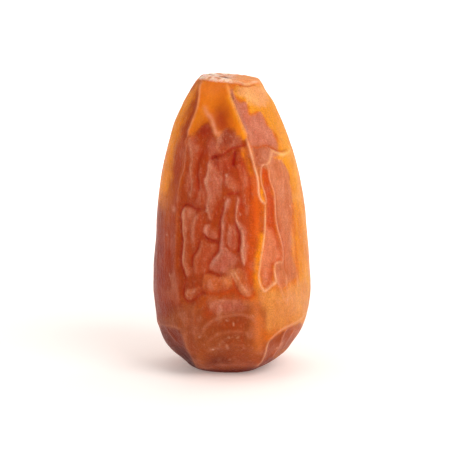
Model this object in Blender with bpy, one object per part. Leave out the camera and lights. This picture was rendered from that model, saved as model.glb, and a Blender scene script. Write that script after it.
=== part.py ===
"""A whole sukkari date, standing on its blunt end, at its real size.

The fruit grew as one piece, so it is one solid. Units are metres, +Z is up, and the
origin is under the middle of the fruit, on the surface that it stands on. -Y is the
front, with the wrinkled panel, and +X is the right.

The shape is made in three steps:
1. a cube is subdivided and each point is sent to a turned but uneven body, whose left,
   right, front and back half widths are given at a row of heights;
2. the body is pushed out and in along its own normals by creases: long pinched keels,
   furrows, soft puffs and broad hollows, each drawn as a line on the skin;
3. the underside is pressed flat where the fruit rests.
"""

import math

import bmesh
import bpy
import numpy as np

MM = 0.001

# ---- driving sizes, mm -------------------------------------------------------------
TOP_SLOPE_X = -0.066    # the scar plate at the top falls to the right
TOP_SLOPE_Y = -0.030    # and a little towards the back
PLATE_FROM = 38.0       # the slope fades in between this height and the plate
PLATE_AT = 41.87
CELLS = 30              # squares along each edge of the starting cube

# height, then the half widths to the left, right, front and back
STATIONS = (
    (-0.80, 0.00, 0.00, 0.00, 0.00),
    (-0.68, 2.20, 1.90, 2.00, 2.00),
    (-0.35, 4.40, 3.40, 3.60, 3.70),
    (0.25, 5.95, 4.50, 4.90, 5.10),
    (1.10, 6.90, 6.20, 6.00, 6.30),
    (2.30, 8.40, 7.95, 7.50, 7.80),
    (3.80, 9.60, 9.12, 8.70, 9.10),
    (5.60, 10.30, 10.25, 9.70, 10.00),
    (8.40, 10.85, 11.15, 10.45, 10.60),
    (11.5, 11.15, 11.50, 10.85, 10.90),
    (14.5, 11.08, 11.28, 10.85, 10.90),
    (19.0, 10.68, 10.88, 10.50, 10.55),
    (23.0, 10.45, 10.58, 10.10, 10.25),
    (27.5, 9.95, 9.82, 9.45, 9.60),
    (31.5, 9.15, 8.75, 8.55, 8.80),
    (35.0, 8.25, 7.50, 7.45, 7.80),
    (38.2, 6.85, 6.10, 6.10, 6.50),
    (40.2, 5.60, 4.92, 4.95, 5.30),
    (41.3, 4.75, 4.36, 4.05, 4.40),
    (41.87, 3.90, 3.85, 3.25, 3.60),
    (41.89, 2.20, 2.00, 1.80, 2.00),
    (41.77, 0.00, 0.00, 0.00, 0.00),
)

# ---- the front elevation -----------------------------------------------------------
# Creases on the front are drawn on an elevation sheet, seen from a little above:
# 7 units are 1 mm at the fruit's axis, x runs right and y runs down.
SHEET_SCALE = 7.0
EYE_DISTANCE = 330.0
EYE_ELEVATION = math.radians(10.5)
SHEET_MIDDLE = (225.0, 225.0)
EYE_TARGET = (-0.86, 0.0, 20.6)

# Each crease: (height in mm, spread to its left, spread to its right, sharpness, points)
# A negative height is a furrow. Left and right are as one walks along the points.
FRONT = (
    # the main keel, from the scar plate down the middle of the right half
    (0.80, 0.95, 1.9, 1.2, ((228, 83), (230, 97), (235.3, 110.4), (241, 125.7), (246.3, 139.5),
                            (251.3, 157), (256.2, 176), (258.3, 194.7), (264, 204))),
    (0.45, 0.9, 1.5, 1.2, ((264, 204), (265, 218), (264, 234), (260.8, 256.5), (258.3, 277),
                           (262.5, 290.8), (266.2, 289), (273.6, 283), (274.0, 270), (281.5, 262.3))),
    (0.40, 1.0, 1.0, 1.3, ((281.9, 262.3), (282.2, 249), (278.4, 233), (275.2, 215), (274.5, 196),
                           (270.4, 182.5), (266.5, 165), (271.7, 150.6))),
    (0.35, 1.0, 1.0, 1.3, ((271.7, 150.6), (280.6, 154.4), (288.2, 150.6), (291.5, 141))),
    # the left keel
    (0.55, 1.8, 0.9, 1.2, ((202.3, 80), (200.2, 95.6), (195.9, 115.9), (188.6, 135.7), (187, 150),
                           (184.4, 170), (180, 185), (177.5, 206))),
    # creases where the blunt end turns under
    (0.50, 1.1, 1.6, 1.2, ((306.5, 313.6), (292.3, 323.6), (279, 330.3), (267, 339.7),
                           (263.5, 352.4), (256, 367))),
    (0.50, 1.6, 1.1, 1.2, ((157.4, 320.5), (168.8, 326.5), (180, 327.5), (184.8, 340.3),
                           (191.5, 353.7), (200, 369))),
    # furrows of the wrinkled panel between the keels
    (-0.45, 0.9, 0.9, 2.0, ((206.5, 207.2), (195.3, 210.2), (185.9, 204.6), (179.7, 212),
                            (180.8, 228.5), (180.2, 248.9), (181.3, 269.3), (184.6, 281),
                            (182.2, 292), (187.5, 301.5), (200.9, 294.3), (217, 293.8),
                            (237, 293), (249, 296.8), (256.2, 291))),
    (-0.35, 0.8, 0.8, 2.0, ((202, 233.5), (207.4, 240), (217.6, 242.7), (217.5, 251.5), (211, 260.5))),
    (-0.35, 0.8, 0.8, 2.0, ((231, 219), (236.1, 228.5), (240.2, 242.5), (239, 254))),
    (-0.30, 0.8, 0.8, 2.0, ((209.6, 160), (217, 156), (228.4, 151), (243, 145.3))),
    # puffs beside them
    (0.45, 1.0, 1.0, 2.0, ((186.5, 213), (187.5, 232), (184.5, 252), (187, 272))),
    (0.40, 1.0, 1.0, 2.0, ((225, 208), (223, 229), (224, 249), (222, 262))),
    (0.35, 1.0, 1.0, 2.0, ((238.8, 204), (236.9, 219), (244.3, 240), (245.3, 259))),
    (0.40, 1.1, 1.1, 2.0, ((205, 283), (214, 283), (224, 283))),
    (0.30, 3.0, 3.0, 2.0, ((185, 316), (215, 308), (245, 310))),
)

# Creases of the sides and back: (height, left spread, right spread, sharpness,
# points as (degrees, height)). 0 degrees is the right, 90 the back, 180 the left.
ROUND = (
    (0.55, 1.4, 1.0, 1.3, ((22, 40.6), (26, 36), (31, 30), (27, 24), (33, 17), (30, 10), (38, 4))),
    (0.65, 1.0, 1.6, 1.3, ((66, 41.0), (63, 36), (70, 29), (76, 22), (70, 15), (75, 8), (68, 3))),
    (0.55, 1.5, 1.0, 1.3, ((108, 41.0), (113, 35), (106, 28), (112, 21), (119, 14), (113, 7))),
    (0.60, 1.0, 1.5, 1.3, ((150, 40.8), (146, 35), (152, 28), (147, 20), (155, 12), (149, 5))),
    (-0.45, 1.2, 1.2, 2.0, ((46, 38), (50, 31), (46, 24), (53, 16), (49, 9))),
    (-0.50, 1.2, 1.2, 2.0, ((90, 37), (94, 30), (89, 24), (95, 18), (91, 11))),
    (-0.45, 1.2, 1.2, 2.0, ((130, 38), (127, 31), (132, 24), (128, 16), (134, 9))),
    (-0.40, 1.2, 1.2, 2.0, ((168, 36), (171, 29), (166, 22), (170, 14))),
    (-0.35, 1.2, 1.2, 2.0, ((8, 34), (5, 27), (10, 20), (7, 13))),
)

# Broad hollows: (depth in mm, radius in mm, point on the elevation sheet)
HOLLOWS = (
    (0.50, 3.2, (216, 118)),
    (0.30, 5.5, (212, 215)),
    (0.35, 3.0, (286, 346)),
    (0.30, 3.0, (172, 344)),
)


def smooth_table(at, x, y):
    """Monotone cubic through the points (x, y), read at `at`: no overshoot between them."""
    h, d = np.diff(x), np.diff(y) / np.diff(x)
    m = np.zeros(len(x))
    m[0], m[-1] = d[0], d[-1]
    same = d[:-1] * d[1:] > 0
    w1, w2 = 2 * h[1:] + h[:-1], h[1:] + 2 * h[:-1]
    safe = np.where(same, d[:-1], 1.0), np.where(same, d[1:], 1.0)
    m[1:-1] = np.where(same, (w1 + w2) / (w1 / safe[0] + w2 / safe[1]), 0.0)
    i = np.clip(np.searchsorted(x, at) - 1, 0, len(x) - 2)
    t = (at - x[i]) / h[i]
    return ((1 + 2 * t) * (1 - t) ** 2 * y[i] + t * (1 - t) ** 2 * h[i] * m[i]
            + t * t * (3 - 2 * t) * y[i + 1] + t * t * (t - 1) * h[i] * m[i + 1])


TABLE = np.array(STATIONS)
ALONG = np.concatenate([[0.0], np.cumsum(np.hypot(np.diff(TABLE[:, 0]), np.diff(TABLE[:, 1:].mean(1))))])


def section(u):
    """Height and the four half widths at each length u along the outline."""
    return [smooth_table(u, ALONG, TABLE[:, k]) for k in range(5)]


def across(x, y_is_front, left, right, front, back):
    """How far the body reaches to the front or back of its axis at this x."""
    wide = np.where(x < 0, left, right)
    deep = np.where(y_is_front, front, back)
    return deep * np.sqrt(np.clip(1 - (x / np.maximum(wide, 1e-6)) ** 2, 0, 1))


def tilted(p):
    """The top, sloped as the scar plate is."""
    share = np.clip((p[:, 2] - PLATE_FROM) / (PLATE_AT - PLATE_FROM), 0, 1)
    share = share * share * (3 - 2 * share)
    out = p.copy()
    out[:, 2] += share * (TOP_SLOPE_X * p[:, 0] + TOP_SLOPE_Y * p[:, 1])
    return out


def body_point(angle, u):
    """Points of the plain body, mm, at an angle round it and a length along its outline."""
    z, left, right, front, back = section(u)
    c, s = np.cos(angle), np.sin(angle)
    wide = np.where(c < 0, left, right)
    deep = np.where(s < 0, front, back)
    r = wide * deep / np.maximum(np.hypot(deep * c, wide * s), 1e-9)
    return tilted(np.stack([r * c, r * s, z], 1))


def outline_share():
    """Length along the outline against share of the skin's area, from the lower pole up."""
    u = np.linspace(0, ALONG[-1], 600)
    z, left, right, front, back = section(u)
    r = (left + right + front + back) / 4
    step = np.hypot(np.diff(r), np.diff(z))
    area = np.concatenate([[0.0], np.cumsum((r[1:] + r[:-1]) / 2 * step)])
    return u, area / area[-1]


def length_at_height(z):
    """The outline's length at a height, between the two poles' flat parts."""
    u = np.linspace(ALONG[1], ALONG[-3], 900)
    return np.interp(z, section(u)[0], u)


def on_sheet(p):
    """Where a point of the body is drawn on the elevation sheet."""
    c, s = math.cos(EYE_ELEVATION), math.sin(EYE_ELEVATION)
    q = p - np.array(EYE_TARGET)
    depth = EYE_DISTANCE + q[:, 1] * c - q[:, 2] * s
    k = SHEET_SCALE * EYE_DISTANCE / depth
    return np.stack([SHEET_MIDDLE[0] + k * q[:, 0], SHEET_MIDDLE[1] - k * (q[:, 1] * s + q[:, 2] * c)], 1)


def from_sheet(drawn):
    """The point of the front skin that is drawn there, found by stepping to it."""
    drawn = np.asarray(drawn, float)
    x = (drawn[:, 0] - SHEET_MIDDLE[0]) / SHEET_SCALE + EYE_TARGET[0]
    z = (SHEET_MIDDLE[1] - drawn[:, 1]) / SHEET_SCALE + EYE_TARGET[2]
    p = None
    for _ in range(14):
        _, left, right, front, back = section(length_at_height(z))
        x = np.clip(x, -left * 0.9995, right * 0.9995)
        p = tilted(np.stack([x, -across(x, True, left, right, front, back), z], 1))
        off = drawn - on_sheet(p)
        x = x + off[:, 0] / SHEET_SCALE * 0.9
        z = np.clip(z - off[:, 1] / SHEET_SCALE * 0.9, 0.0, 41.5)
    return p


def curve_through(points, step):
    """A smooth line through the points, in short steps."""
    p = np.asarray(points, float)
    p = np.concatenate([[2 * p[0] - p[1]], p, [2 * p[-1] - p[-2]]])
    out = []
    for a, b, c, d in zip(p[:-3], p[1:-2], p[2:-1], p[3:]):
        n = max(2, int(np.linalg.norm(c - b) / step))
        t = (np.arange(n) / n)[:, None]
        out.append(0.5 * (2 * b + (c - a) * t + (2 * a - 5 * b + 4 * c - d) * t ** 2
                          + (3 * b - a - 3 * c + d) * t ** 3))
    return np.concatenate(out + [p[-2:-1]])


def crease(points, normals, line, height, spread_left, spread_right, sharpness):
    """The push along the normal that one crease gives to every point of the body."""
    a, b = line[:-1], line[1:]
    nearest = np.full(len(points), 1e9)
    side = np.zeros(len(points))
    along = np.zeros(len(points))
    reach = 3.5 * max(spread_left, spread_right)
    low, high = line.min(0) - reach, line.max(0) + reach
    near = np.where(((points > low) & (points < high)).all(1))[0]
    p, n = points[near], normals[near]
    for k in range(len(a)):
        d = b[k] - a[k]
        t = np.clip(((p - a[k]) @ d) / max(d @ d, 1e-12), 0, 1)
        off = p - a[k] - t[:, None] * d
        far = np.linalg.norm(off, axis=1)
        better = far < nearest[near]
        chosen = near[better]
        nearest[chosen] = far[better]
        side[chosen] = (np.cross(n, np.broadcast_to(d, n.shape)) * off).sum(1)[better]
        along[chosen] = (k + t[better]) / len(a)
    spread = np.where(side > 0, spread_left, spread_right)
    ends = np.clip(np.minimum(along, 1 - along) / 0.08, 0, 1) * 0.75 + 0.25
    return height * ends * np.exp(-(nearest / spread) ** sharpness)


def sculpt(body, normals):
    push = np.zeros(len(body))
    for height, left, right, sharp, drawn in FRONT:
        line = from_sheet(curve_through(drawn, 5.0))
        push += crease(body, normals, line, height, left, right, sharp)
    for height, left, right, sharp, placed in ROUND:
        turned = curve_through(placed, 2.0)
        line = body_point(np.radians(turned[:, 0]), length_at_height(turned[:, 1]))
        push += crease(body, normals, line, height, left, right, sharp)
    for depth, radius, drawn in HOLLOWS:
        middle = from_sheet([drawn])[0]
        push -= depth * np.exp(-(np.linalg.norm(body - middle, axis=1) / radius) ** 2)
    # a shallow bowl round the dry slit in the scar plate
    top = np.hypot(body[:, 0] + 0.5, body[:, 1])
    push -= 0.35 * np.exp(-(top / 1.6) ** 2) * (body[:, 2] > 40.5)
    # nothing pushes on the underside, which the surface presses flat
    return push * np.clip((body[:, 2] + 0.2) / 1.2, 0, 1)


def clear_scene():
    for old in list(bpy.data.objects):
        bpy.data.objects.remove(old, do_unlink=True)


def skin_material():
    mat = bpy.data.materials.new("date_skin")
    mat.use_nodes = True
    shader = mat.node_tree.nodes["Principled BSDF"]
    shader.inputs["Base Color"].default_value = (0.62, 0.20, 0.055, 1.0)
    shader.inputs["Roughness"].default_value = 0.38
    shader.inputs["Metallic"].default_value = 0.0
    return mat


def date_fruit():
    bm = bmesh.new()
    bmesh.ops.create_cube(bm, size=2.0)
    bmesh.ops.subdivide_edges(bm, edges=bm.edges[:], cuts=CELLS - 1, use_grid_fill=True)
    # cube to ball, with cells of even size
    cube = np.array([v.co for v in bm.verts])
    ball = np.tan(np.clip(cube, -1, 1) * math.pi / 4)
    ball /= np.linalg.norm(ball, axis=1)[:, None]
    # ball to body, keeping each cell's share of the area
    u, share = outline_share()
    length = np.interp((1 + ball[:, 2]) / 2, share, u)
    body = body_point(np.arctan2(ball[:, 1], ball[:, 0]), length)
    for v, p in zip(bm.verts, body):
        v.co = p
    bm.normal_update()
    normals = np.array([v.normal for v in bm.verts])
    shaped = body + normals * sculpt(body, normals)[:, None]
    shaped[:, 2] = np.maximum(shaped[:, 2], 0.0)
    # the finished fruit's box stands over the origin
    middle = (shaped.min(0) + shaped.max(0)) / 2
    print("moved, mm:", np.round(-middle[:2], 3))
    shaped[:, :2] -= middle[:2]
    for v, p in zip(bm.verts, shaped * MM):
        v.co = p
    bmesh.ops.recalc_face_normals(bm, faces=bm.faces[:])
    mesh = bpy.data.meshes.new("date_fruit")
    bm.to_mesh(mesh)
    bm.free()
    mesh.materials.append(skin_material())
    mesh.shade_smooth()
    made = bpy.data.objects.new("date_fruit", mesh)
    bpy.context.scene.collection.objects.link(made)
    return made


def main():
    clear_scene()
    made = date_fruit()
    corners = np.array([v.co for v in made.data.vertices]) * 1000
    low, high = corners.min(0), corners.max(0)
    print("size, mm:", np.round(high - low, 2), "middle:", np.round((high + low) / 2, 3), "lowest:", low[2])


main()
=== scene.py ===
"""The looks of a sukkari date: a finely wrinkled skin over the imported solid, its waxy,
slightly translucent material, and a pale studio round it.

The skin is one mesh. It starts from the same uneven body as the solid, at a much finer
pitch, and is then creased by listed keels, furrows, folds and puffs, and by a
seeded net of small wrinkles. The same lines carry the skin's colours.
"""
import math

import bmesh
import bpy
import numpy as np
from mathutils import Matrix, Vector


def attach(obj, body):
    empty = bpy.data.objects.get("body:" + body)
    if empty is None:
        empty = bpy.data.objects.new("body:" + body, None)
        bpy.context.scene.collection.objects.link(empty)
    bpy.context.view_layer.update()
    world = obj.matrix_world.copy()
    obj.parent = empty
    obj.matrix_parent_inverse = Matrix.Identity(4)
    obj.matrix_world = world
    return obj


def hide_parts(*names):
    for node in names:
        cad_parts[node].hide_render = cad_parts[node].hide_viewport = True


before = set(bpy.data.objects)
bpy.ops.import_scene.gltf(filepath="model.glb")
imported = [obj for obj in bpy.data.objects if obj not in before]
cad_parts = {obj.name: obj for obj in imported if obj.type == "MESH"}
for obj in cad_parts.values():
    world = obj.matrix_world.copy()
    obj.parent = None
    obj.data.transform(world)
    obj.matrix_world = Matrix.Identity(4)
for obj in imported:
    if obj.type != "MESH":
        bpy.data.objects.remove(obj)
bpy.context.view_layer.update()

MM = 0.001
CELLS = 126                      # squares along each edge of the starting cube
FINER_FRONT = 0.22               # how much finer the front's faces are
MOVED = np.array([-0.173, 0.050, 0.0])   # mm, puts the body's box over the origin

# ---- the body: the same stations as the solid's --------------------------------------
TOP_SLOPE_X, TOP_SLOPE_Y = -0.066, -0.030
PLATE_FROM, PLATE_AT = 38.0, 41.87
# height, then the half widths to the left, right, front and back, mm
STATIONS = (
    (-0.80, 0.00, 0.00, 0.00, 0.00),
    (-0.68, 2.20, 1.90, 2.00, 2.00),
    (-0.35, 4.40, 3.40, 3.60, 3.70),
    (0.25, 5.95, 4.50, 4.90, 5.10),
    (1.10, 6.90, 6.20, 6.00, 6.30),
    (2.30, 8.40, 7.95, 7.50, 7.80),
    (3.80, 9.60, 9.12, 8.70, 9.10),
    (5.60, 10.30, 10.25, 9.70, 10.00),
    (8.40, 10.85, 11.15, 10.45, 10.60),
    (11.5, 11.15, 11.50, 10.85, 10.90),
    (14.5, 11.08, 11.28, 10.85, 10.90),
    (19.0, 10.68, 10.88, 10.50, 10.55),
    (23.0, 10.45, 10.58, 10.10, 10.25),
    (27.5, 9.95, 9.82, 9.45, 9.60),
    (31.5, 9.15, 8.75, 8.55, 8.80),
    (35.0, 8.25, 7.50, 7.45, 7.80),
    (38.2, 6.85, 6.10, 6.10, 6.50),
    (40.2, 5.60, 4.92, 4.95, 5.30),
    (41.3, 4.75, 4.36, 4.05, 4.40),
    (41.87, 3.90, 3.85, 3.25, 3.60),
    (41.89, 2.20, 2.00, 1.80, 2.00),
    (41.77, 0.00, 0.00, 0.00, 0.00),
)

# ---- the elevation sheet that the front's lines are drawn on ---------------------------
# 7 units are 1 mm at the fruit's axis, x runs right and y runs down, seen from 10.5
# degrees above.
SHEET_SCALE = 7.0
EYE_DISTANCE = 330.0
EYE_ELEVATION = math.radians(10.5)
SHEET_MIDDLE = (225.0, 225.0)
EYE_TARGET = (-0.86, 0.0, 20.6)

# ---- colours, as the eye reads them (sRGB, 0 to 255) -----------------------------------
SHEEN = 0.022
AMBER = (240, 152, 52)
HONEY = (226, 132, 44)
ORANGE = (214, 108, 34)
DEEP = (186, 78, 26)
RED = (176, 72, 40)
BRICK = (170, 54, 16)
WINE = (158, 42, 12)
PINK = (214, 126, 92)
ROSE = (198, 100, 72)
MAUVE = (168, 92, 76)
BROWN = (150, 78, 42)
UMBER = (118, 58, 34)
PALE = (240, 176, 128)
PEACH = (232, 156, 106)
PAPER = (244, 204, 168)
SLIT = (92, 36, 22)

# ---- the front's lines ------------------------------------------------------------------
# Keels: height mm, reach left and right mm, sharpness, colour, strength, line width mm, points
# the colour is painted along each crest: partly the skin's paler pinched edge, partly a painted highlight
KEELS = (
    # the main keel, from the scar plate down
    (0.62, 0.9, 1.7, 1.15, (250, 178, 104), 0.55, 0.20, ((226.5, 84), (228.6, 92), (230.6, 98.5), (232.6, 104),
        (235.3, 110.4), (237.9, 117.4), (241, 125.7), (244.2, 133.4), (246.1, 139.1))),
    (0.42, 0.50, 0.85, 1.15, (248, 190, 148), 0.95, 0.16, ((246.1, 139.1), (248.7, 147.4), (251.3, 157), (253.8, 167.8),
        (256.4, 176.1), (257.6, 184.4), (258.3, 194.7), (260.8, 201), (264.6, 203.6))),
    (0.32, 0.45, 0.6, 1.2, (248, 188, 142), 0.90, 0.13, ((264.6, 203.6), (265, 211.9), (264.6, 224.6), (264, 234.2),
        (262.7, 243.8), (260.8, 256.5), (258.9, 269.3), (258.2, 276.7), (259.5, 283.4), (262.9, 290.8),
        (266.2, 289.4), (270.2, 285.4), (273.6, 283.4), (274.6, 278), (273.6, 270.6), (274.2, 264.2),
        (277.4, 262.3), (281.9, 262.3))),
    # the narrow loop beside it
    (0.26, 0.35, 0.4, 1.2, (242, 174, 134), 0.82, 0.12, ((265.9, 164.6), (262.1, 165.3), (260.5, 169.7), (260.2, 176.1),
        (261.5, 184.4), (263.4, 189.5), (265.3, 194.7), (265.6, 201), (264.6, 203.6))),
    # the second keel of the right half
    (0.32, 0.45, 0.6, 1.2, (242, 170, 130), 0.76, 0.12, ((265.9, 164.6), (267.8, 168.4), (268.8, 176.1), (270.4, 182.5),
        (272.9, 189.6), (274.5, 196), (274.8, 205.5), (275.2, 215), (276.1, 224.6), (278.4, 233),
        (280.6, 240.6), (282.2, 248.9), (282.8, 256.5), (281.9, 262.3))),
    (0.32, 0.5, 0.5, 1.2, PALE, 0.7, 0.20, ((271.7, 150.6), (271, 151.9), (269.7, 157.6), (268.5, 162), (265.9, 164.6))),
    (0.36, 0.6, 0.7, 1.3, (252, 200, 128), 0.75, 0.24, ((271.7, 150.6), (275.5, 153.4), (280.6, 155), (285.1, 153.8),
        (287.6, 151.4), (289, 148.6))),
    # the small loop low on the right
    (0.20, 0.4, 0.4, 1.3, (238, 166, 122), 0.60, 0.14, ((274.6, 278), (275.6, 281), (279.4, 288), (281.4, 294.6), (282.9, 300),
        (285, 302), (286.2, 298), (286.4, 291), (285.4, 283), (286.3, 276))),
    (0.12, 0.4, 0.4, 1.3, (240, 178, 132), 0.60, 0.26, ((260.6, 287.4), (263.4, 290.4), (267.4, 287.6), (271, 284.6), (273.4, 282))),
    (0.15, 0.35, 0.35, 1.4, PALE, 0.45, 0.14, ((296.4, 274), (296.9, 287))),
    # the lip of the scar plate
    (0.16, 0.25, 0.3, 1.4, (248, 202, 168), 0.75, 0.16, ((234, 81), (238.5, 82.2), (243.2, 83.8), (248.8, 84.2), (253, 82.2),
        (257.9, 81.4))),
    (0.10, 0.25, 0.3, 1.4, (246, 196, 164), 0.60, 0.14, ((203, 78.4), (208.1, 80.2), (214, 80.6), (222, 80.2), (230.5, 79.6))),
    # the left keel
    (0.44, 1.3, 0.8, 1.15, (238, 164, 122), 0.65, 0.17, ((202.3, 82), (201, 89), (200.2, 95.6), (198.5, 106.4),
        (195.9, 115.9), (193.4, 122.3), (190.8, 129.3), (188.6, 135.7))),
    (0.26, 1.0, 0.6, 1.2, (222, 144, 112), 0.50, 0.11, ((188.6, 135.7), (187.3, 142.1), (187, 149.7), (186, 160.6),
        (184.4, 170.2), (181.9, 176.5), (180, 184.8), (178.7, 195.7), (177.3, 206))),
    # the inner ridge under the smooth hollow at the top
    (0.22, 0.7, 0.6, 1.4, (228, 154, 118), 0.75, 0.32, ((204.2, 106.3), (206.4, 113), (209.6, 116.2), (212.1, 121.3),
        (213.9, 128.7), (216.6, 133.8), (220.5, 132.5))),
    (0.10, 0.35, 0.35, 1.4, PALE, 0.25, 0.14, ((218.7, 136.9), (217.5, 142.6), (216.7, 146.5), (218.3, 149.9),
        (221.3, 152.6))),
    # creases where the blunt end turns under, right
    (0.42, 0.6, 1.3, 1.2, (240, 176, 134), 0.80, 0.17, ((305.7, 314.2), (299, 318.2), (292.3, 322.4), (285.6, 325.6),
        (279, 329.3), (272.2, 334.4), (267.4, 339), (265, 344.7), (263.6, 352), (260.2, 359), (257, 365))),
    (0.12, 0.4, 0.5, 1.3, (206, 134, 104), 0.55, 0.16, ((294, 330), (290, 339), (285.4, 348.6))),
    (0.20, 0.4, 0.5, 1.3, (220, 148, 118), 0.75, 0.15, ((285.7, 327.5), (281.8, 337.4), (279.4, 345.8), (275.5, 352),
        (271.5, 358.3))),
    (0.22, 1.5, 1.0, 1.6, (216, 122, 66), 0.30, 0.45, ((255.2, 311), (259.4, 320.6), (258.6, 332), (258.4, 342.6),
        (256.3, 353))),
    # and left
    (0.24, 1.2, 0.8, 1.4, (206, 134, 100), 0.50, 0.20, ((157.4, 321.5), (165.8, 324.9), (175.3, 326), (181.6, 328.9))),
    (0.34, 1.5, 1.1, 1.35, (202, 126, 90), 0.45, 0.28, ((181.6, 328.9), (185.8, 337.4), (187.8, 345.7), (192.1, 353.9),
        (197.4, 363.7), (201, 369))),
    (0.14, 0.5, 0.5, 1.4, (176, 106, 80), 0.40, 0.20, ((167.3, 329.5), (171.8, 337.7), (176.4, 342))),
    # soft lines of the panel under the wrinkles
    (0.26, 0.7, 0.45, 1.4, (212, 136, 104), 0.50, 0.24, ((201.6, 336), (204.8, 327.6), (211, 321.4), (219, 317.8), (230, 315.6),
        (241, 314.6), (249.6, 316.8), (255, 321.6))),
    (0.18, 0.6, 0.45, 1.5, (204, 124, 92), 0.45, 0.26, ((209, 340.6), (216, 335.6), (226, 332.6), (238, 332), (250, 334.6))),
    (0.12, 0.6, 0.5, 1.5, (192, 112, 80), 0.35, 0.26, ((216, 348.6), (228, 345.4), (240, 345.6), (252, 349))),
    (0.12, 0.5, 0.6, 1.5, (196, 116, 84), 0.35, 0.26, ((195, 306), (193.4, 318), (194.6, 330), (197, 342))),
    # crisp pale lines on the low slanting pad: painted glints along its crest
    (0.05, 0.2, 0.25, 1.4, (250, 204, 160), 0.30, 0.10, ((231.6, 273.5), (233.8, 278), (236.6, 282.5))),
    (0.06, 0.2, 0.25, 1.4, (250, 206, 164), 0.40, 0.10, ((234.8, 271.8), (236.6, 275.6), (239.2, 280))),
    (0.05, 0.2, 0.25, 1.4, (240, 184, 144), 0.35, 0.20, ((241, 284), (244, 289), (247, 293))),
    # the left flank's long soft lines
    (0.03, 0.5, 0.5, 1.5, (196, 118, 78), 0.25, 0.22, ((161.5, 186), (159.5, 210), (158, 240), (157, 275), (159, 305))),
    (0.09, 0.45, 0.45, 1.5, (200, 118, 90), 0.40, 0.18, ((176.5, 212), (176, 235), (175, 262), (177, 285), (179.5, 303))),
    (0.04, 0.4, 0.4, 1.5, (200, 120, 92), 0.30, 0.16, ((166.5, 206), (164.5, 222), (165, 250), (164.5, 272))),
)
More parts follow.
